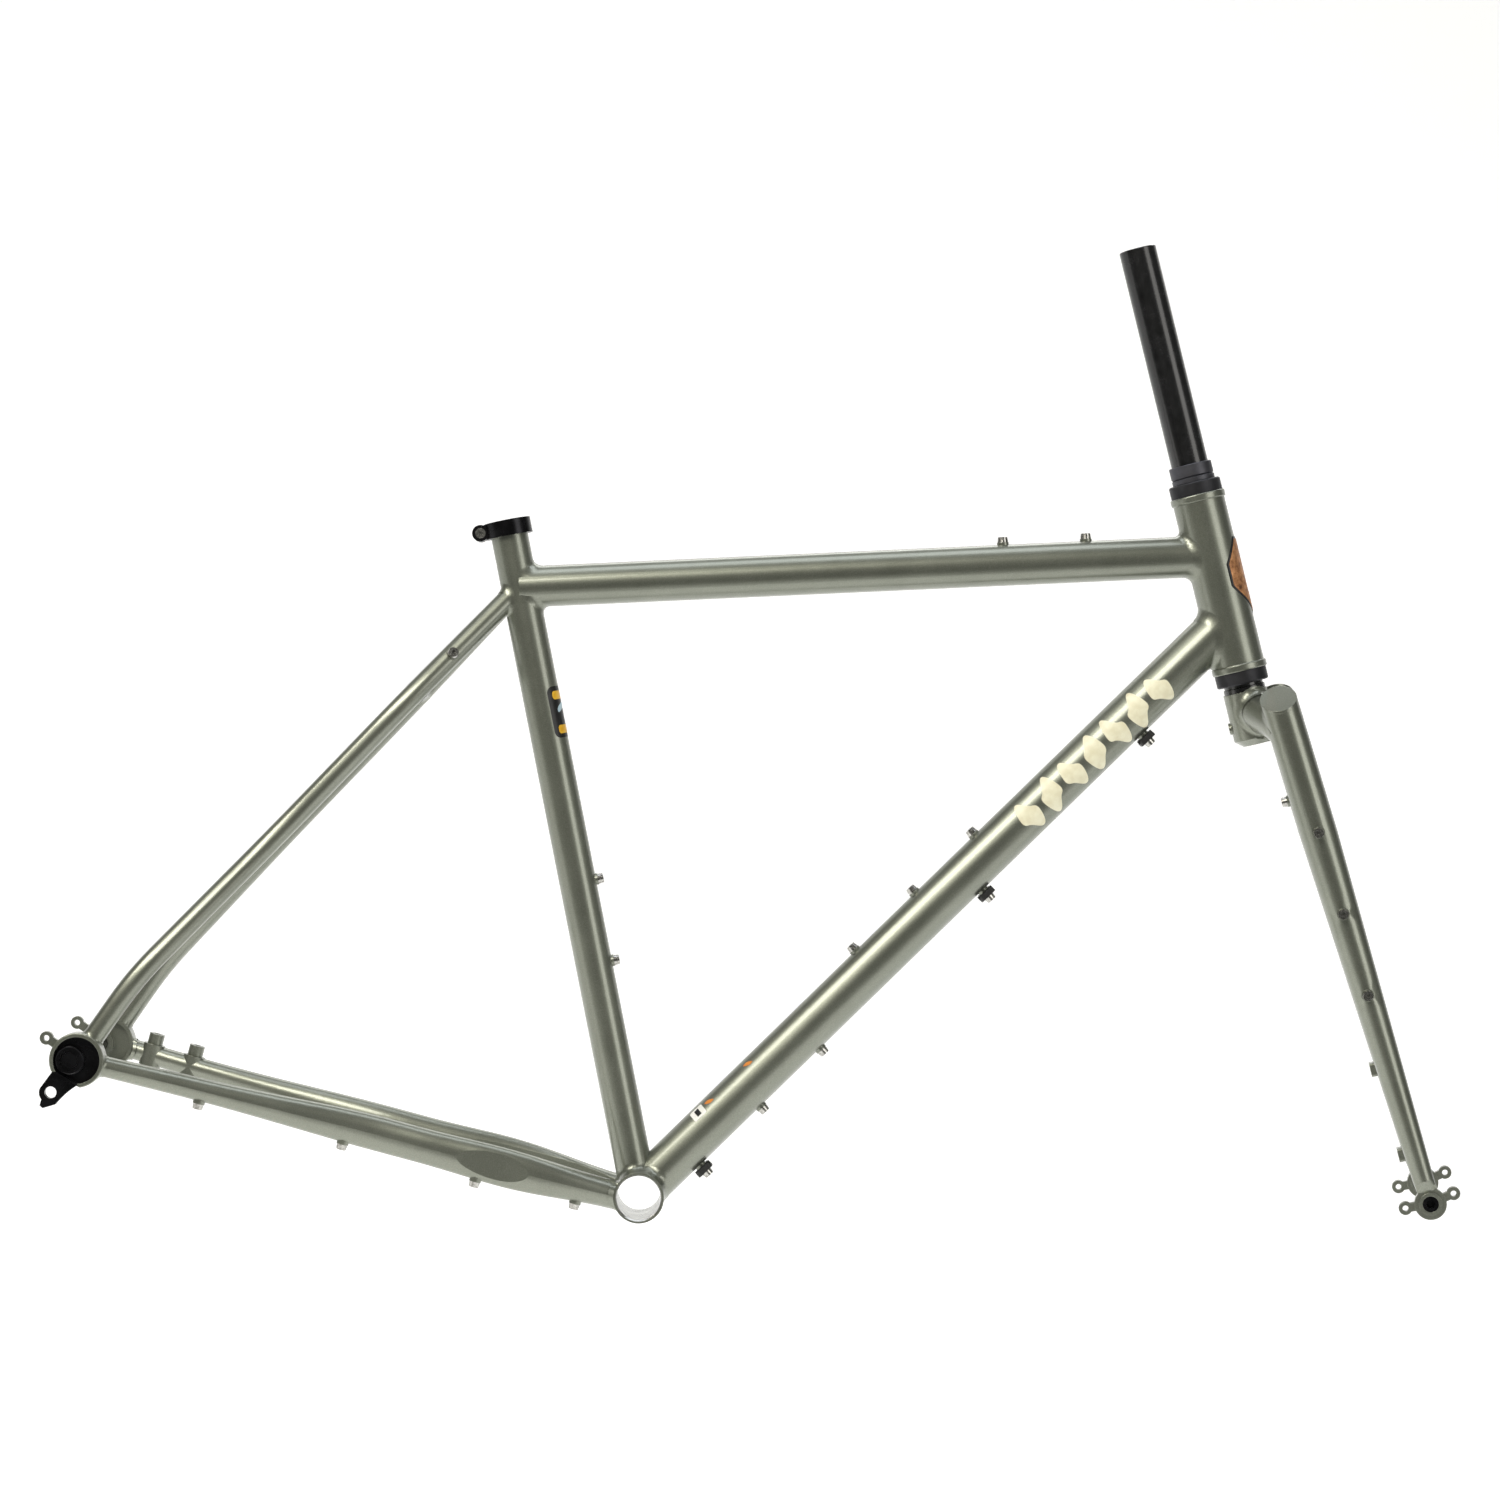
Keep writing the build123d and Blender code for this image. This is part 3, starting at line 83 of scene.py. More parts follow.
# soft boxes: place, the point it faces, its two sides in metres, watts and tint
softBoxes = {
    "keyBox": ((-1.5, -1.9, 2.0), (0.05, 0, 0.3), (2.6, 0.8), 75, "#FFFBF0"),
    "sideBox": ((2.3, -2.0, 0.9), (0.1, 0, 0.3), (1.3, 2.2), 25, "#FFFDF8"),
    "overheadBox": ((0.1, -0.2, 3.0), (0.1, 0, 0.2), (3.6, 1.2), 40, "#F4F8FF"),
    "rearBox": ((0.1, 2.0, 2.6), (0.1, 0, 0.3), (3.2, 0.8), 25, "#FFFFFF"),
}
air = {"tint": "#646561", "strength": 0.9}


def addSweep(material):
    data = studio
    outline = [(data["front"], data["floorZ"])]
    for step in range(data["curveSteps"] + 1):
        turn = math.radians(90 * step / data["curveSteps"])
        y = data["back"] + data["curve"] * math.sin(turn)
        z = data["floorZ"] + data["curve"] * (1 - math.cos(turn))
        outline.append((y, z))
    outline.append((data["back"] + data["curve"], data["height"]))
    mesh = bpy.data.meshes.new("studioSweep")
    half = data["halfWidth"]
    verts = [(x, y, z) for y, z in outline for x in (-half, half)]
    faces = [(2 * i, 2 * i + 1, 2 * i + 3, 2 * i + 2) for i in range(len(outline) - 1)]
    mesh.from_pydata(verts, [], faces)
    mesh.shade_smooth()
    mesh.materials.append(material)
    sweep = bpy.data.objects.new("studioSweep", mesh)
    bpy.context.scene.collection.objects.link(sweep)


def addSoftBox(name, place, target, size, power, tint):
    data = bpy.data.lights.new(name, "AREA")
    data.shape = "RECTANGLE"
    data.size, data.size_y = size
    data.energy = power
    data.color = hexToLinear(tint)[:3]
    lamp = bpy.data.objects.new(name, data)
    lamp.location = place
    lamp.rotation_euler = (Vector(target) - Vector(place)).to_track_quat("-Z", "Y").to_euler()
    bpy.context.scene.collection.objects.link(lamp)


def addAir():
    world = bpy.data.worlds.new("studioAir")
    bpy.context.scene.world = world
    world.use_nodes = True
    background = world.node_tree.nodes["Background"]
    background.inputs["Color"].default_value = hexToLinear(air["tint"])
    background.inputs["Strength"].default_value = air["strength"]


def hexToLinear(code):
    values = [int(code[i:i + 2], 16) / 255 for i in (1, 3, 5)]
    return tuple([v / 12.92 if v <= 0.04045 else ((v + 0.055) / 1.055) ** 2.4 for v in values] + [1.0])


def addNode(tree, kind, settings=None, links=None, stops=()):
    # a setting is a socket's name or number, or a property; stops are a colour ramp's places and colours
    node = tree.nodes.new(kind)
    for name, value in (settings or {}).items():
        if isinstance(name, int) or name in node.inputs:
            node.inputs[name].default_value = value
        else:
            setattr(node, name, value)
    for name, source in (links or {}).items():
        tree.links.new(source, node.inputs[name])
    for i, (at, code) in enumerate(stops):
        element = node.color_ramp.elements[i] if i < 2 else node.color_ramp.elements.new(at)
        element.position = at
        element.color = hexToLinear(code)
    return node


def startMaterial(name):
    material = bpy.data.materials.new(name)
    material.use_nodes = True
    tree = material.node_tree
    tree.nodes.clear()
    place = addNode(tree, "ShaderNodeTexCoord").outputs["Object"]
    return material, tree, place


def finishMaterial(tree, settings, links):
    shader = addNode(tree, "ShaderNodeBsdfPrincipled", settings, links)
    addNode(tree, "ShaderNodeOutputMaterial", links={"Surface": shader.outputs["BSDF"]})


# olive metallic enamel under clear lacquer: aluminium flakes give a soft broad glow, the lacquer a sharp one
enamel = {
    "flake": 0.7 * mm,          # real flakes are 0.05 mm; these show
    "mottle": 45 * mm,
    "mottleShare": 0.35,
    "peel": 2.4 * mm,
    "peelDepth": 0.02 * mm,
    "edge": 0.5 * mm,
    "colours": [(0.30, "#777A6F"), (0.70, "#8C8F84"), (0.50, "#818479")],
    "roughness": (0.33, 0.41),
}


def makeEnamel():
    data = enamel
    material, tree, place = startMaterial("metallicEnamel")
    flakes = addNode(tree, "ShaderNodeTexNoise", {"Scale": 1 / data["flake"], "Detail": 1.0}, {"Vector": place})
    mottle = addNode(tree, "ShaderNodeTexNoise", {"Scale": 1 / data["mottle"], "Detail": 3.0}, {"Vector": place})
    both = addNode(
        tree,
        "ShaderNodeMix",
        {"Factor": data["mottleShare"]},
        {"A": flakes.outputs["Fac"], "B": mottle.outputs["Fac"]},
    )
    colour = addNode(tree, "ShaderNodeValToRGB", links={"Fac": both.outputs["Result"]}, stops=data["colours"])
    edges = addNode(tree, "ShaderNodeBevel", {"samples": 4, "Radius": data["edge"]}).outputs["Normal"]
    orange = addNode(tree, "ShaderNodeTexNoise", {"Scale": 1 / data["peel"], "Detail": 0.0}, {"Vector": place})
    peel = addNode(
        tree,
        "ShaderNodeBump",
        {"Distance": data["peelDepth"], "Strength": 0.1},
        {"Height": orange.outputs["Fac"], "Normal": edges},
    )
    low, high = data["roughness"]
    dull = addNode(tree, "ShaderNodeMapRange", {"To Min": low, "To Max": high}, {"Value": mottle.outputs["Fac"]})
    finishMaterial(
        tree,
        {"Metallic": 0.85, "Coat Weight": 0.5, "Coat Roughness": 0.09, "Coat IOR": 1.5},
        {
            "Base Color": colour.outputs["Color"],
            "Roughness": dull.outputs["Result"],
            "Coat Normal": peel.outputs["Normal"],
            "Normal": edges,
        },
    )
    return material


def makePatterned(name, shader, pattern, colours, roughness, relief, toolRings=None):
    # a finish whose one pattern sets its colour and roughness; its relief has a depth and a strength, and
    # follows a pattern of its own, tool rings along an axis, or else the same pattern
    material, tree, place = startMaterial(name)
    size, detail, contrast = pattern
    settings = {"Scale": 1 / size, "Detail": detail, "Roughness": contrast}
    patches = addNode(tree, "ShaderNodeTexNoise", settings, {"Vector": place}).outputs["Fac"]
    colour = addNode(tree, "ShaderNodeValToRGB", links={"Fac": patches}, stops=colours).outputs["Color"]
    low, high = roughness
    dull = addNode(tree, "ShaderNodeMapRange", {"To Min": low, "To Max": high}, {"Value": patches})
    height = patches
    if toolRings:
        axis, pitch = toolRings
        settings = {"bands_direction": axis, "Scale": 0.5 / pitch / math.pi, "Distortion": 0.3, "Detail": 1.0}
        height = addNode(tree, "ShaderNodeTexWave", settings, {"Vector": place}).outputs["Fac"]
    elif relief["size"]:
        settings = {"Scale": 1 / relief["size"], "Detail": relief["detail"]}
        height = addNode(tree, "ShaderNodeTexNoise", settings, {"Vector": place}).outputs["Fac"]
    settings = {"Distance": relief["depth"], "Strength": relief["strength"]}
    normal = addNode(tree, "ShaderNodeBump", settings, {"Height": height}).outputs["Normal"]
    finishMaterial(tree, shader, {"Base Color": colour, "Roughness": dull.outputs["Result"], "Normal": normal})
    return material


def makeRelief(depth, strength, size=None, detail=0.0):
    # without a size of its own, the relief follows the colour's pattern
    return {"depth": depth, "strength": strength, "size": size, "detail": detail}


# stoving enamel on the steel steerer: near black, with a clean gloss and faint handling marks
def makeBlackEnamel():
    shader = {"Metallic": 0.0, "IOR": 1.52, "Coat Weight": 0.3, "Coat Roughness": 0.08}
    colours = [(0.35, "#0B0B0C"), (0.75, "#1B1B1D")]
    peel = makeRelief(0.02 * mm, 0.3, 1.6 * mm)
    return makePatterned("blackStovingEnamel", shader, (9 * mm, 6.0, 0.7), colours, (0.16, 0.34), peel)


# anodised aluminium, bead blasted before the dye: an even grey-black satin with a fine grit
def makeAnodised(name, dark, light, low, high):
    colours = [(0.35, dark), (0.70, light)]
    grit = makeRelief(0.03 * mm, 0.35, 0.5 * mm, 2.0)         # blast grit of 0.1 mm, drawn coarser to show
    return makePatterned(name, {"Metallic": 0.85}, (14 * mm, 4.0, 0.5), colours, (low, high), grit)


# stainless steel fasteners, cold headed and tumbled: bright with soft patches
def makeStainless():
    colours = [(0.3, "#8E8C88"), (0.7, "#C9C8C4")]
    dents = makeRelief(0.03 * mm, 0.4)
    patches = (1.8 * mm, 3.0, 0.5)
    return makePatterned("tumbledStainless", {"Metallic": 1.0}, patches, colours, (0.16, 0.34), dents)


# turned and reamed steel, bare and oiled: bright, with fine tool rings along the bore
def makeMachined(name, axis, pitch):
    colours = [(0.35, "#A9A9A6"), (0.7, "#D8D8D5")]
    rings = makeRelief(0.15 * mm, 0.5)
    stain = (12 * mm, 4.0, 0.5)
    return makePatterned(name, {"Metallic": 1.0}, stain, colours, (0.2, 0.36), rings, (axis, pitch))


# glass-filled nylon, injection moulded in a spark-eroded tool: dull black with a fine grain
def makeNylon():
    colours = [(0.3, "#141414"), (0.7, "#262627")]
    grain = makeRelief(0.05 * mm, 0.5)
    return makePatterned("mouldedNylon", {"IOR": 1.53}, (0.6 * mm, 3.0, 0.5), colours, (0.38, 0.55), grain)


# printed vinyl film under matt laminate: flat even colour with the slight waviness of a laid film
def makeFilm(name, dark, light):
    colours = [(0.35, dark), (0.65, light)]
    wave = makeRelief(0.03 * mm, 0.2)
    return makePatterned(name, {"IOR": 1.46}, (6 * mm, 2.0, 0.5), colours, (0.3, 0.42), wave)


# patinated copper, pressed: warm brown with darker tarnish in patches
def makeCopper():
    colours = [(0.32, "#6B4630"), (0.70, "#D9A272"), (0.5, "#B57F55")]
    pitting = makeRelief(0.06 * mm, 0.5)
    tarnish = (5 * mm, 6.0, 0.65)
    return makePatterned("patinatedCopper", {"Metallic": 0.55}, tarnish, colours, (0.55, 0.38), pitting)


# painted board: matt white with no visible texture, dark grey towards the viewer; where it is white it also has
# a painted glow, an emission that makes it brighter than the lamps alone would light it
def makeSweepPaintAndGlow():
    data = studio
    material, tree, place = startMaterial("whiteSweepWithPaintedGlow")
    tone = addNode(tree, "ShaderNodeTexNoise", {"Scale": 1 / data["tone"], "Detail": 2.0}, {"Vector": place})
    stops = [(0.3, data["white"][0]), (0.7, data["white"][1])]
    white = addNode(tree, "ShaderNodeValToRGB", links={"Fac": tone.outputs["Fac"]}, stops=stops).outputs["Color"]
    depth = addNode(tree, "ShaderNodeSeparateXYZ", links={"Vector": place}).outputs["Y"]
    near, far = data["pool"]
    # the floor darkens towards the viewer, so that the tubes mirror a dark band between two bright ones
    pool = addNode(tree, "ShaderNodeMapRange", {"From Min": near, "From Max": far}, {"Value": depth})
    light = pool.outputs["Result"]
    # sockets 6 and 7 are this node's two colours, and its output 2 is the mixed colour
    colour = addNode(
        tree, "ShaderNodeMix", {"data_type": "RGBA", 6: hexToLinear(data["dusk"])}, {"Factor": light, 7: white}
    )
    # painted glow: the white part of the sweep emits light, which brightens it beyond what the lamps give
    glow = addNode(tree, "ShaderNodeMapRange", {"To Min": 0.0, "To Max": data["glow"]}, {"Value": light})
    finishMaterial(
        tree,
        {"Roughness": 0.85, "Emission Color": hexToLinear("#FFFFFF")},
        {"Base Color": colour.outputs[2], "Emission Strength": glow.outputs["Result"]},
    )
    return material


enamelPaint = makeEnamel()
blackEnamel = makeBlackEnamel()
mattAnodised = makeAnodised("mattAnodisedAluminium", "#303033", "#3E3E41", 0.42, 0.55)
satinAnodised = makeAnodised("satinAnodisedAluminium", "#1C1C1E", "#2A2A2D", 0.22, 0.32)
greyAnodised = makeAnodised("greyAnodisedAluminium", "#4A4A4F", "#5A5A60", 0.40, 0.52)
stainless = makeStainless()
boredSteel = makeMachined("reamedSteel", "Y", 1.06 * mm)
groundSteel = makeMachined("groundBearingSteel", "Z", 0.4 * mm)
nylon = makeNylon()
copper = makeCopper()
creamFilm = makeFilm("creamVinyl", "#E4DEC0", "#EFEBD0")
blackFilm = makeFilm("blackVinyl", "#101011", "#1A1A1B")
amberFilm = makeFilm("amberVinyl", "#D9A21E", "#E9B93A")
blueFilm = makeFilm("paleBlueVinyl", "#9DB7C4", "#B4CBD6")
whiteFilm = makeFilm("whiteVinyl", "#E6E5DF", "#F1F0EB")
orangeFilm = makeFilm("orangeVinyl", "#C9742A", "#DB8B3D")

print("materials made")

creaseAngle = 32     # degrees; sharper corners than this stay sharp when shaded
nodeFinish = {
    "steerer": blackEnamel,
    "crown_race": blackEnamel,
    "upper_cup": mattAnodised,
    "lower_cup": mattAnodised,
    "top_cover": greyAnodised,
    "headset_spacer": greyAnodised,
    "compression_ring": satinAnodised,
    "seat_clamp": satinAnodised,
    "derailleur_hanger": satinAnodised,
    "hanger_bolt": satinAnodised,
    "hanger_washer": satinAnodised,
    "front_axle": satinAnodised,
    "rear_axle": satinAnodised,
    "upper_bearing": groundSteel,
    "lower_bearing": groundSteel,
    "cable_guides": nylon,
    "head_badge": blackFilm,
}


def dressNodes():
    for name, node in nodes.items():
        finish = nodeFinish.get(name, stainless if "bolt" in name else enamelPaint)
        node.data.materials.clear()
        node.data.materials.append(finish)
        node.data.shade_smooth()
        node.data.set_sharp_from_angle(angle=math.radians(creaseAngle))


dressNodes()


def finishPiece(name, mesh, body, slot, *materials):
    for material in materials:
        mesh.materials.append(material)
    piece = bpy.data.objects.new(name, mesh)
    bpy.context.scene.collection.objects.link(piece)
    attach(piece, body)
    return piece


def tubeAxis(node, near=None, within=1.0):
    # a tube's walls all face away from its axis, so the axis is the one direction that no wall faces;
    # near and within pick one straight stretch of a bent tube
    mesh = nodes[node].data
    near = Vector(near or (0, 0, 0))
    faces = [face for face in mesh.polygons if (face.center - near).length < within]
    facing = np.array([tuple(face.normal * math.sqrt(face.area)) for face in faces])
    corners = {index for face in faces for index in face.vertices}
    corners = np.array([tuple(mesh.vertices[index].co) for index in sorted(corners)])
    along = np.linalg.eigh(facing.T @ facing)[1][:, 0]
    side = np.cross(along, (0.0, 1.0, 0.0))
    side = side / np.linalg.norm(side) if np.linalg.norm(side) > 0.1 else np.array((1.0, 0.0, 0.0))
    other = np.cross(along, side)
    across, high = corners @ side, corners @ other
    centre = side * (across.max() + across.min()) / 2 + other * (high.max() + high.min()) / 2
    centre = centre + along * np.median(corners @ along)
    radius = (across.max() - across.min() + high.max() - high.min()) / 4
    return Vector(centre), Vector(along), radius


def awayFrom(tube, host):
    # the same tube, with its direction pointing away from the host's axis
    centre, along, radius = tube
    joint = host[0] + host[1] * (centre - host[0]).dot(host[1])
    return centre, along if (centre - joint).dot(along) > 0 else -along, radius


def strip(name, rows, closed, body, slot, finish, outward):
    # skin over equal rows of points, turned so that it faces the way its first row of points says
    width = len(rows[0])
    verts = [point for row in rows for point in row]
    count = len(rows) if closed else len(rows) - 1
    faces = []
    for i in range(count):
        j = (i + 1) % len(rows)
        faces += [(i * width + k, j * width + k, j * width + k + 1, i * width + k + 1) for k in range(width - 1)]
    mesh = bpy.data.meshes.new(name)
    mesh.from_pydata(verts, [], faces)
    middle = mesh.polygons[width // 2]
    if middle.normal.dot(outward) < 0:
        mesh.flip_normals()
    mesh.shade_smooth()
    return finishPiece(name, mesh, body, slot, finish)


def weldBead(name, body, host, branch, size, hostHalf=1.0, rows=8, steps=120):
    # concave fillet where a branch tube meets a host tube, with the faint ripple of a hand-run bead;
    # hostHalf is half the host's length, where the bead could run past its end
    hostPoint, hostAlong, hostRadius = host
    branchPoint, branchAlong, branchRadius = awayFrom(branch, host)
    side = branchAlong.orthogonal().normalized()
    other = branchAlong.cross(side)
    run = branchAlong - hostAlong * branchAlong.dot(hostAlong)
    across = hostAlong.cross(run).normalized()
    rings = []
    for i in range(steps):
        turn = 2 * math.pi * i / steps
        out = side * math.cos(turn) + other * math.sin(turn)
        start = branchPoint + out * branchRadius - hostPoint
        flat = start - hostAlong * start.dot(hostAlong)
        over = flat.dot(across)
        # a branch wider than its host wraps round the host's flanks
        flank = hostRadius * beads["wrap"]
        held = start - across * (over - max(-flank, min(flank, over)))
        flat = held - hostAlong * held.dot(hostAlong)
        a, b, c = run.dot(run), 2 * flat.dot(run), flat.dot(flat) - hostRadius**2
        reach = (-b + math.sqrt(max(b * b - 4 * a * c, 0))) / (2 * a)
        corner = held + branchAlong * reach
        normal = (corner - hostAlong * corner.dot(hostAlong)).normalized()
        away = (out - normal * out.dot(normal)).normalized()
        ripple = size * (1 + beads["ripple"] * math.sin(beads["ripples"] * turn) * math.sin(5 * turn + 1))
        onHost = corner + away * ripple
        level = hostAlong * max(-hostHalf, min(hostHalf, onHost.dot(hostAlong)))
        outward = (onHost - hostAlong * onHost.dot(hostAlong)).normalized()
        onHost = level + outward * (hostRadius - beads["sink"])
        onBranch = start + branchAlong * (reach + ripple) - out * beads["sink"]
        if abs(corner.dot(hostAlong)) > hostHalf:
            # past the end of the host the bead dies away inside the branch's wall
            corner = start + branchAlong * reach - out * beads["fade"]
            onHost = corner
            onBranch = corner + branchAlong * ripple
        ring = []
        for row in range(rows + 1):
            mix = row / rows
            ring.append(hostPoint + onBranch * (1 - mix) ** 2 + corner * 2 * mix * (1 - mix) + onHost * mix**2)
        rings.append(ring)
        if i == 0:
            facing = out + normal
    return strip(name, rings, True, body, "frame_enamel", enamelPaint, facing)


# brazed fillets: the sizes of the beads and, for the bent stays, a point in each straight stretch and its reach
beads = {
    "main": 6.5 * mm,
    "stay": 4.5 * mm,
    "hood": 3.0 * mm,
    "bridge": 3.5 * mm,
    "crown": 5.0 * mm,
    "sink": 0.08 * mm,
    "fade": 0.5 * mm,
    "ripple": 0.05,
    "ripples": 31,
    "wrap": 0.96,
    "shellEdge": 1.5 * mm,
    "chainAtShell": ((-30, 29, 0), 22),
    "chainAtHood": ((-396, 77, 60), 30),
    "stayAtHood": ((-408, 78.5, 100), 30),
    "stayAtSeat": ((-165, 12, 425), 35),
    "bridgeHalf": 32,
    "bridgeReach": 40,
    "legReach": 100,
}
headRadius = 20 * mm
sleeveRadius = 17 * mm
hoodRadius = 20.5 * mm
hoodHalf = 8.0 * mm
acrossFrame = Vector((0, 1, 0))


def middleOf(node):
    low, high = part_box(node)
    return (low + high) / 2


def stretch(node, sign, key):
    # one straight stretch of a bent stay, on the left (1) or the right (-1)
    (x, y, z), reach = beads[key]
    return tubeAxis(node, (x * mm, sign * y * mm, z * mm), reach * mm)


def addFrameBeads():
    head, top, down, seat = (tubeAxis(node) for node in ("head_tube", "top_tube", "down_tube", "seat_tube"))
    head = (head[0], head[1], headRadius)
    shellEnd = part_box("bottom_bracket_shell")[1]
    shell = (Vector((0, 0, 0)), acrossFrame, shellEnd[0])
    shellHalf = shellEnd[1] - beads["shellEdge"]
    for name, host, branch in (
        ("topToHeadBead", head, top),
        ("downToHeadBead", head, down),
        ("topToSeatBead", seat, top),
        ("downToShellBead", shell, down),
        ("seatToShellBead", shell, seat),
    ):
        weldBead(name, "frame", host, branch, beads["main"], shellHalf if host is shell else 1.0)
    bridge = tubeAxis("seatstay_bridge")
    bridgeFoot = Vector((bridge[0].x, 0, bridge[0].z))
    for side, sign in (("right", -1), ("left", 1)):
        low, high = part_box(side + "_dropout")
        middle = Vector((high[0] - hoodRadius, (low[1] + high[1]) / 2, high[2] - hoodRadius))
        hood = (middle, acrossFrame, hoodRadius)
        chain = side + "_chainstay"
        stay = side + "_seatstay"
        stayPoint = (bridgeFoot.x, sign * beads["bridgeHalf"] * mm, middleOf("seatstay_bridge").z)
        atBridge = tubeAxis(stay, stayPoint, beads["bridgeReach"] * mm)
        half = (bridgeFoot, bridge[1], bridge[2])
        for name, host, branch, size, hostHalf in (
            ("ChainstayShellBead", shell, stretch(chain, sign, "chainAtShell"), beads["stay"], shellHalf),
            ("ChainstayHoodBead", hood, stretch(chain, sign, "chainAtHood"), beads["hood"], hoodHalf),
            ("SeatstayHoodBead", hood, stretch(stay, sign, "stayAtHood"), beads["hood"], hoodHalf),
            ("SeatstayBead", seat, stretch(stay, sign, "stayAtSeat"), beads["stay"], 1.0),
            ("BridgeBead", atBridge, half, beads["bridge"], 1.0),
        ):
            weldBead(side + name, "frame", host, branch, size, hostHalf)


def addForkBeads():
    sleeve = tubeAxis("crown_sleeve")
    sleeve = (sleeve[0], sleeve[1], sleeveRadius)
    for side in ("right", "left"):
        arm = tubeAxis(side + "_crown_arm")
        leg = tubeAxis(side + "_fork_leg", tuple(middleOf(side + "_leg_cap")), beads["legReach"] * mm)
        weldBead(side + "ArmSleeveBead", "fork", sleeve, arm, beads["crown"])
        weldBead(side + "ArmLegBead", "fork", leg, arm, beads["crown"])


addFrameBeads()
addForkBeads()

print("beads laid")


def surfacePoint(tube, start, turn, lift):
    # point on a tube: start runs along it, turn runs round it from the rider's right to the front or underside
    centre, along, radius = tube
    along = along if along.z > 0 else -along
    right = Vector((0, -1, 0))
    out = right * math.cos(turn) + along.cross(right) * math.sin(turn)
    return centre + along * start + out * (radius + lift), out


film = 0.10 * mm     # thickness of one layer of vinyl, with its glue


def wrappedShape(name, tube, middle, turn, outline, layers, finish, rows=24, columns=9):
    # thin film on a tube: outline gives the near and far edge, in metres round the tube, at each height
    radius = tube[2]
    lift = layers * film
    reach = outline["to"] - outline["from"]
    heights = [outline["from"] + reach * (1 - math.cos(math.pi * i / rows)) / 2 for i in range(rows + 1)]
    bands = []
    for height in heights:
        near, far = outline["edges"](height)
        band = []
        for k in range(columns + 1):
            across = near + (far - near) * k / columns
            point, out = surfacePoint(tube, middle + height, turn + across / radius, lift)
            band.append(point)
        bands.append(band)
    facing = surfacePoint(tube, middle, turn, lift)[1]
    return strip(name, bands, False, "frame", "badge_enamel", finish, facing)


def roundedBar(length, width, corner):
    # rounded rectangle, given as its two edges at each height
    def edges(height):
        over = max(abs(height) - (length / 2 - corner), 0)
        cut = corner - math.sqrt(max(corner**2 - over**2, 0))
        return -(width / 2 - cut), width / 2 - cut

    return {"from": -length / 2, "to": length / 2, "edges": edges}


def leaf(length, width, lean):
    # leaning leaf with one full and one hollow edge
    def edges(height):
        share = height / length + 0.5
        belly = width * math.sin(math.pi * share) ** 0.8
        middle = lean * (share - 0.5)
        return middle - belly * 0.55, middle + belly * 0.45

    return {"from": -length / 2, "to": length / 2, "edges": edges}


seatLabel = {
    "middle": (-99.6, 363.0),
    "turn": 72,
    "length": 40 * mm,
    "width": 25 * mm,
    "corner": 5 * mm,
    "bars": (-13.5 * mm, 13.0 * mm),
    "barSize": (6.5 * mm, 17 * mm, 2.2 * mm),
    "leafAt": 4 * mm,
    "leafSize": (9 * mm, 8 * mm, 10 * mm),
}


def alongFor(tube, x, z):
    # how far along the tube the point (x, z) of the side view lies, given in millimetres
    along = tube[1] if tube[1].z > 0 else -tube[1]
    return (Vector((x * mm, 0, z * mm)) - tube[0]).dot(along)


def addSeatLabel():
    data = seatLabel
    tube = tubeAxis("seat_tube")
    start = alongFor(tube, *data["middle"])
    turn = math.radians(data["turn"])
    base = roundedBar(data["length"], data["width"], data["corner"])
    wrappedShape("seatLabelBase", tube, start, turn, base, 1, blackFilm, 32)
    for i, at in enumerate(data["bars"]):
        bar = roundedBar(*data["barSize"])
        wrappedShape("seatLabelBar" + str(i + 1), tube, start + at, turn, bar, 2, amberFilm)
    wrappedShape("seatLabelLeaf", tube, start + data["leafAt"], turn, leaf(*data["leafSize"]), 2, blueFilm)


motif = {
    "from": (268.2, 321.6),
    "to": (357.5, 427.3),
    "turn": 3,
    "leaves": (24, 27, 24, 28, 25, 27, 23),
    "curls": (4, -5, 4, -4, 5, -5, 4),
    "width": 18 * mm,
}


def addMotif():
    # a row of curling leaves, in place of lettering
    data = motif
    tube = tubeAxis("down_tube")
    first, last = alongFor(tube, *data["from"]), alongFor(tube, *data["to"])
    count = len(data["leaves"])
    turn = math.radians(data["turn"])
    for i, length in enumerate(data["leaves"]):
        start = first + (last - first) * i / (count - 1)
        shape = crossLeaf(data["width"], length * mm, data["curls"][i] * mm)
        wrappedShape("downTubeLeaf" + str(i + 1), tube, start, turn, shape, 1, creamFilm, 32)


def crossLeaf(length, width, curl):
    # full leaf lying across the tube, with an opposite curl at each end
    def edges(height):
        share = height / length + 0.5
        belly = width / 2 * max(math.sin(math.pi * share), 0) ** 0.55
        middle = curl * math.sin(2 * math.pi * (share - 0.5))
        return middle - belly, middle + belly

    return {"from": -length / 2, "to": length / 2, "edges": edges}


codeSticker = {
    "turn": -52,
    "first": (27, 77),
    "last": (70, 111),
    "base": (12 * mm, 11 * mm, 1.5 * mm),
    "block": (4 * mm, 7 * mm, 0.4 * mm),
    "markGap": 12 * mm,
    "mark": (8 * mm, 4 * mm, 3 * mm),
}


def addDownTubeStickers():
    data = codeSticker
    tube = tubeAxis("down_tube")
    turn = math.radians(data["turn"])
    first, last = alongFor(tube, *data["first"]), alongFor(tube, *data["last"])
    wrappedShape("codeSticker", tube, first, turn, roundedBar(*data["base"]), 1, whiteFilm)
    wrappedShape("codeBlock", tube, first, turn, roundedBar(*data["block"]), 2, blackFilm)
    for i, start in enumerate((first + data["markGap"], last)):
        wrappedShape("orangeMark" + str(i + 1), tube, start, turn, leaf(*data["mark"]), 1, orangeFilm)


addSeatLabel()
addMotif()
addDownTubeStickers()

print("stickers laid")


badge = {
    "height": 62.0 * mm,
    "half": 25.0 * mm,
    "rim": 1.6 * mm,
    "lift": 0.5 * mm,
    "relief": 0.45 * mm,
    "sink": 0.1 * mm,
    "slope": 0.8 * mm,
    "rays": 14,
}


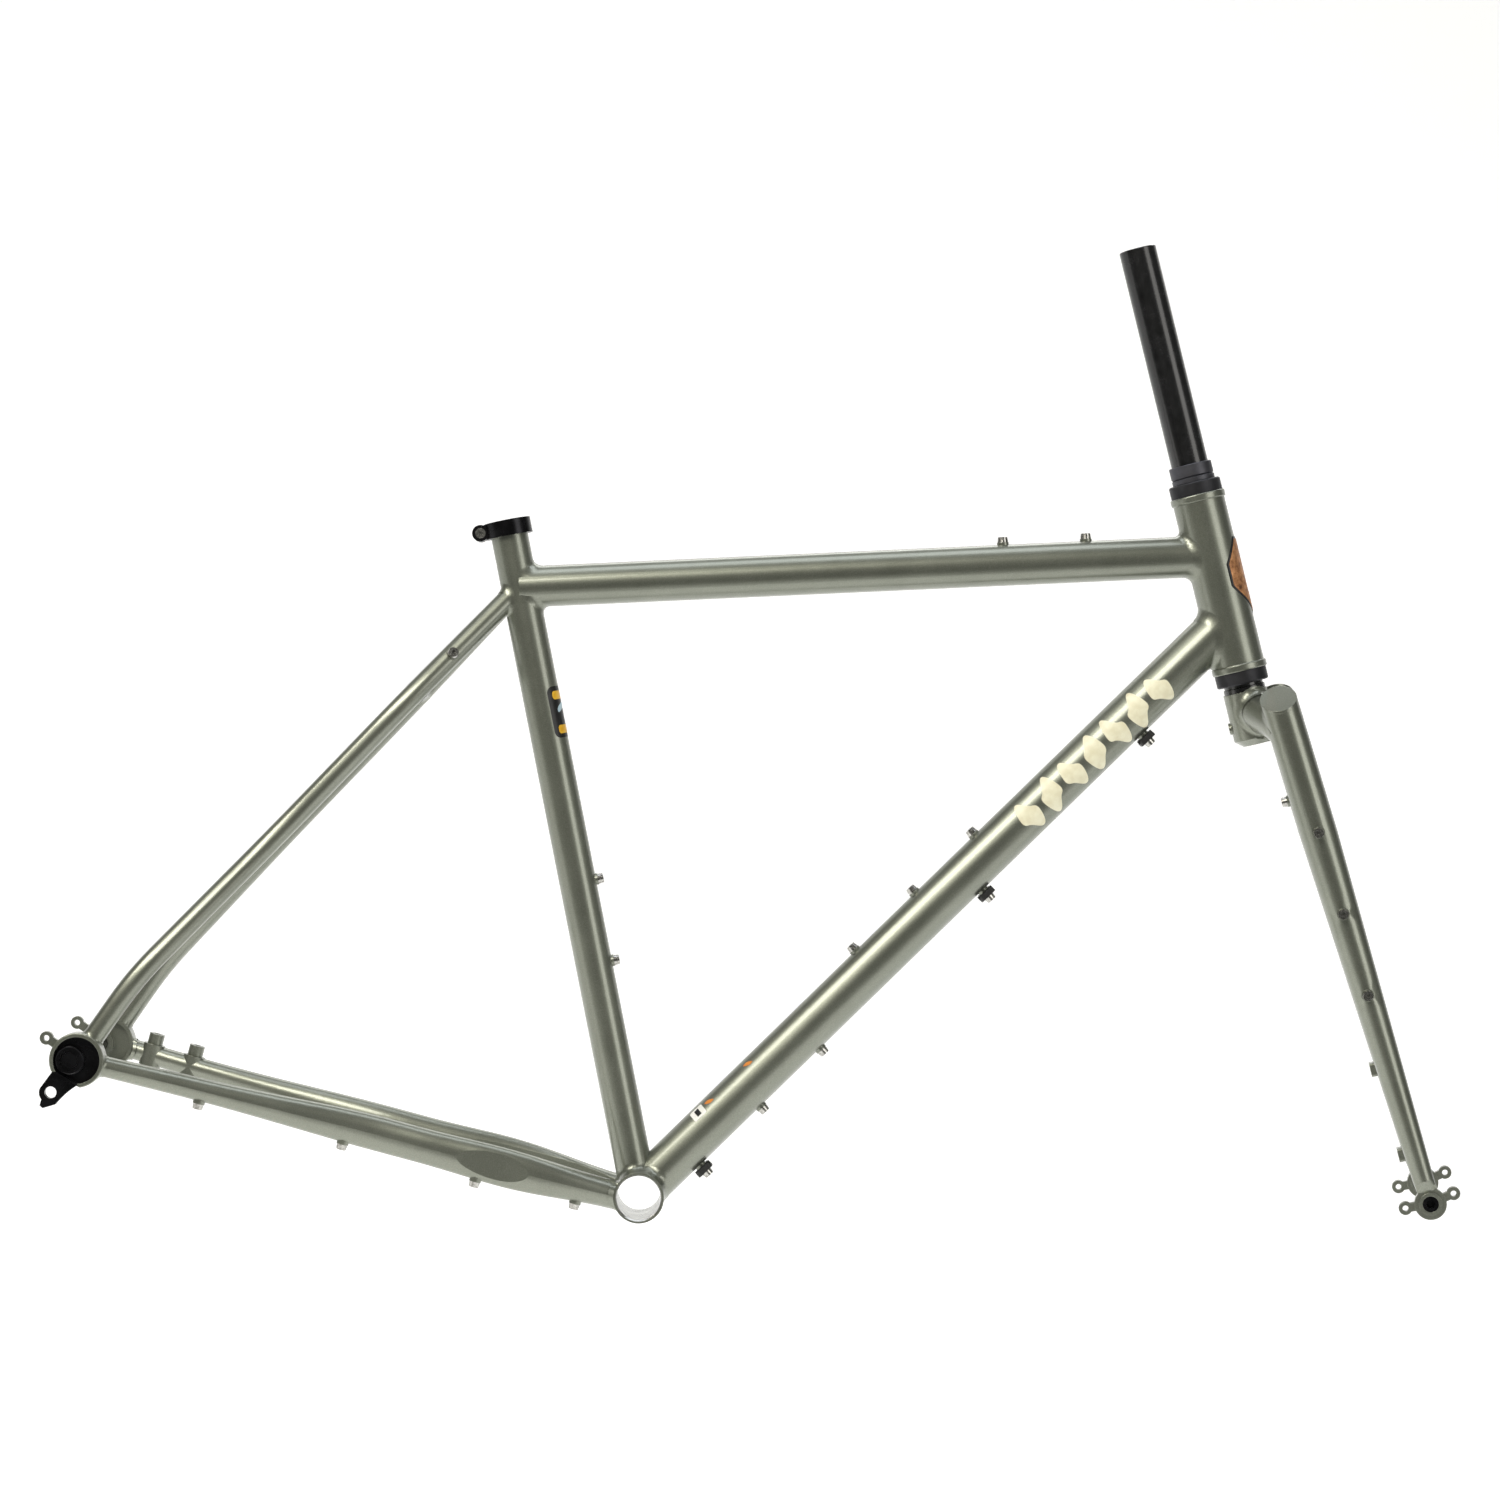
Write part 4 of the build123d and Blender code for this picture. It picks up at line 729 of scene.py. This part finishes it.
def badgeEdge(share):
    # half width of the shield from its foot (-1) to its crown (1)
    if share < -0.2:
        return max(1 - ((-0.2 - share) / 0.8) ** 1.2, 0.02)
    return max(1 - max(share - 0.35, 0) / 0.65 * 0.55, 0.02)


def badgeSkin(name, inset, finish, pressed):
    tube = tubeAxis("head_tube")
    tube = (tube[0], tube[1], headRadius)
    along = tube[1] if tube[1].z > 0 else -tube[1]
    start = (middleOf("head_badge") - tube[0]).dot(along)
    high, wide = badge["height"] / 2 - inset, badge["half"] - inset
    rows, columns = 72, 48
    bands = []
    for i in range(rows + 1):
        height = -high + 2 * high * i / rows
        edge = badgeEdge(height / high) * wide
        band = []
        for k in range(columns + 1):
            across = edge * (2 * k / columns - 1)
            # both skins come down to the tube at their outline
            inside = min(edge - abs(across), high - abs(height))
            rim = max(min(1.0, inside / badge["slope"]), 0)
            lift = -badge["sink"] + (badge["lift"] + badge["sink"]) * rim
            if pressed:
                ray = 0.5 + 0.5 * math.cos(badge["rays"] * math.atan2(across, height + 0.8 * high))
                lift += badge["relief"] * rim * (0.4 + 0.6 * ray)
            point, out = surfacePoint(tube, start + height, math.pi / 2 + across / tube[2], lift)
            band.append(point)
        bands.append(band)
    facing = surfacePoint(tube, start, math.pi / 2, 0)[1]
    return strip(name, bands, False, "frame", "badge_enamel", finish, facing)


def addBadgePlate():
    # pressed copper shield with a fan of rays, in a black rim
    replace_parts(badgeSkin("badgeRim", 0.0, blackFilm, False), "head_badge")
    badgeSkin("badgePlate", badge["rim"], copper, True)


addBadgePlate()

print("badge made")


# walls nearer their axis than these are bare steel; they lie just outside each bore
bareBores = {"bottom_bracket_shell": 17.6 * mm, "steerer": 13.2 * mm, "seat_tube": 13.9 * mm}


def bareInside(node, centre, along):
    mesh = nodes[node].data
    mesh.materials.append(boredSteel)
    for face in mesh.polygons:
        arm = face.center - centre
        if (arm - along * arm.dot(along)).length < bareBores[node]:
            face.material_index = 1


def bareAllBores():
    bareInside("bottom_bracket_shell", Vector((0, 0, 0)), acrossFrame)
    for node, tube in (("steerer", "head_tube"), ("seat_tube", "seat_tube")):
        centre, along = tubeAxis(tube)[:2]
        bareInside(node, centre, along)


hoodWall = 2.6 * mm
hoodDepth = 13.5 * mm


def paintHangerBlackAndShadeInHood():
    # the recess round the hanger bolt is painted black: partly the hanger's own black flange, wider than the
    # modelled hanger, and partly painted shade in the recess
    low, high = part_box("right_dropout")
    mesh = nodes["right_dropout"].data
    mesh.materials.append(satinAnodised)
    for face in mesh.polygons:
        arm = face.center - Vector((high[0] - hoodRadius, 0, high[2] - hoodRadius))
        arm.y = 0
        if arm.length < hoodRadius - hoodWall and face.center.y < low[1] + hoodDepth:
            face.material_index = 1


bareAllBores()
paintHangerBlackAndShadeInHood()


def turnedRing(name, body, slot, finish, foot, along, profile, steps=96):
    # ring turned about an axis from (radius, height) points
    side = along.orthogonal().normalized()
    other = along.cross(side)
    bands = []
    for i in range(steps):
        turn = 2 * math.pi * i / steps
        out = side * math.cos(turn) + other * math.sin(turn)
        bands.append([foot + out * radius + along * height for radius, height in profile])
    return strip(name, bands, True, body, slot, finish, side)


def roundBead(radius, half, lift):
    # half-round section standing on a surface at this radius; a negative half runs from its inner edge out
    turns = [math.pi * k / 8 for k in range(9)]
    return [(radius + half * math.cos(turn), lift * math.sin(turn)) for turn in turns]


hangerRim = {"inset": 0.7 * mm, "half": 0.6 * mm, "lift": 0.35 * mm}


def addHangerRings():
    # rolled edges on the hanger bolt's head and its washer
    out = Vector((0, -1, 0))
    for node, name in (("hanger_bolt", "hangerBoltRim"), ("hanger_washer", "hangerWasherRim")):
        low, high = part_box(node)
        foot = Vector(((low[0] + high[0]) / 2, low[1], (low[2] + high[2]) / 2))
        radius = (high[0] - low[0]) / 2
        section = roundBead(radius - hangerRim["inset"], hangerRim["half"], hangerRim["lift"])
        ring = turnedRing(name, "frame", "black_anodised_aluminium", satinAnodised, foot, out, section)
        if ring.data.polygons[3].normal.y > 0:
            ring.data.flip_normals()


lipSeal = {"radius": 17.6 * mm, "half": 1.4 * mm, "lift": 0.28 * mm, "sunk": 0.3 * mm}


def addLipSeals():
    # moulded lips under the cover and under the lower cup
    section = roundBead(lipSeal["radius"], -lipSeal["half"], lipSeal["lift"])
    for node, name, up in (("upper_cup", "upperLipSeal", 1), ("lower_cup", "lowerLipSeal", -1)):
        centre, along = tubeAxis(node)[:2]
        along = along * up if along.z > 0 else -along * up
        top = max((Vector(v.co) - centre).dot(along) for v in nodes[node].data.vertices)
        foot = centre + along * (top - lipSeal["sunk"])
        ring = turnedRing(name, "frame", "black_nylon", nylon, foot, along, section)
        if ring.data.polygons[3].normal.dot(along) < 0:
            ring.data.flip_normals()


addHangerRings()
addLipSeals()

print("bores, hood, rims and seals done")

addCamera()
addSweep(makeSweepPaintAndGlow())
for name, box in softBoxes.items():
    addSoftBox(name, *box)
addAir()
bpy.context.scene.view_settings.view_transform = "Standard"

print("camera, sweep and lights set")
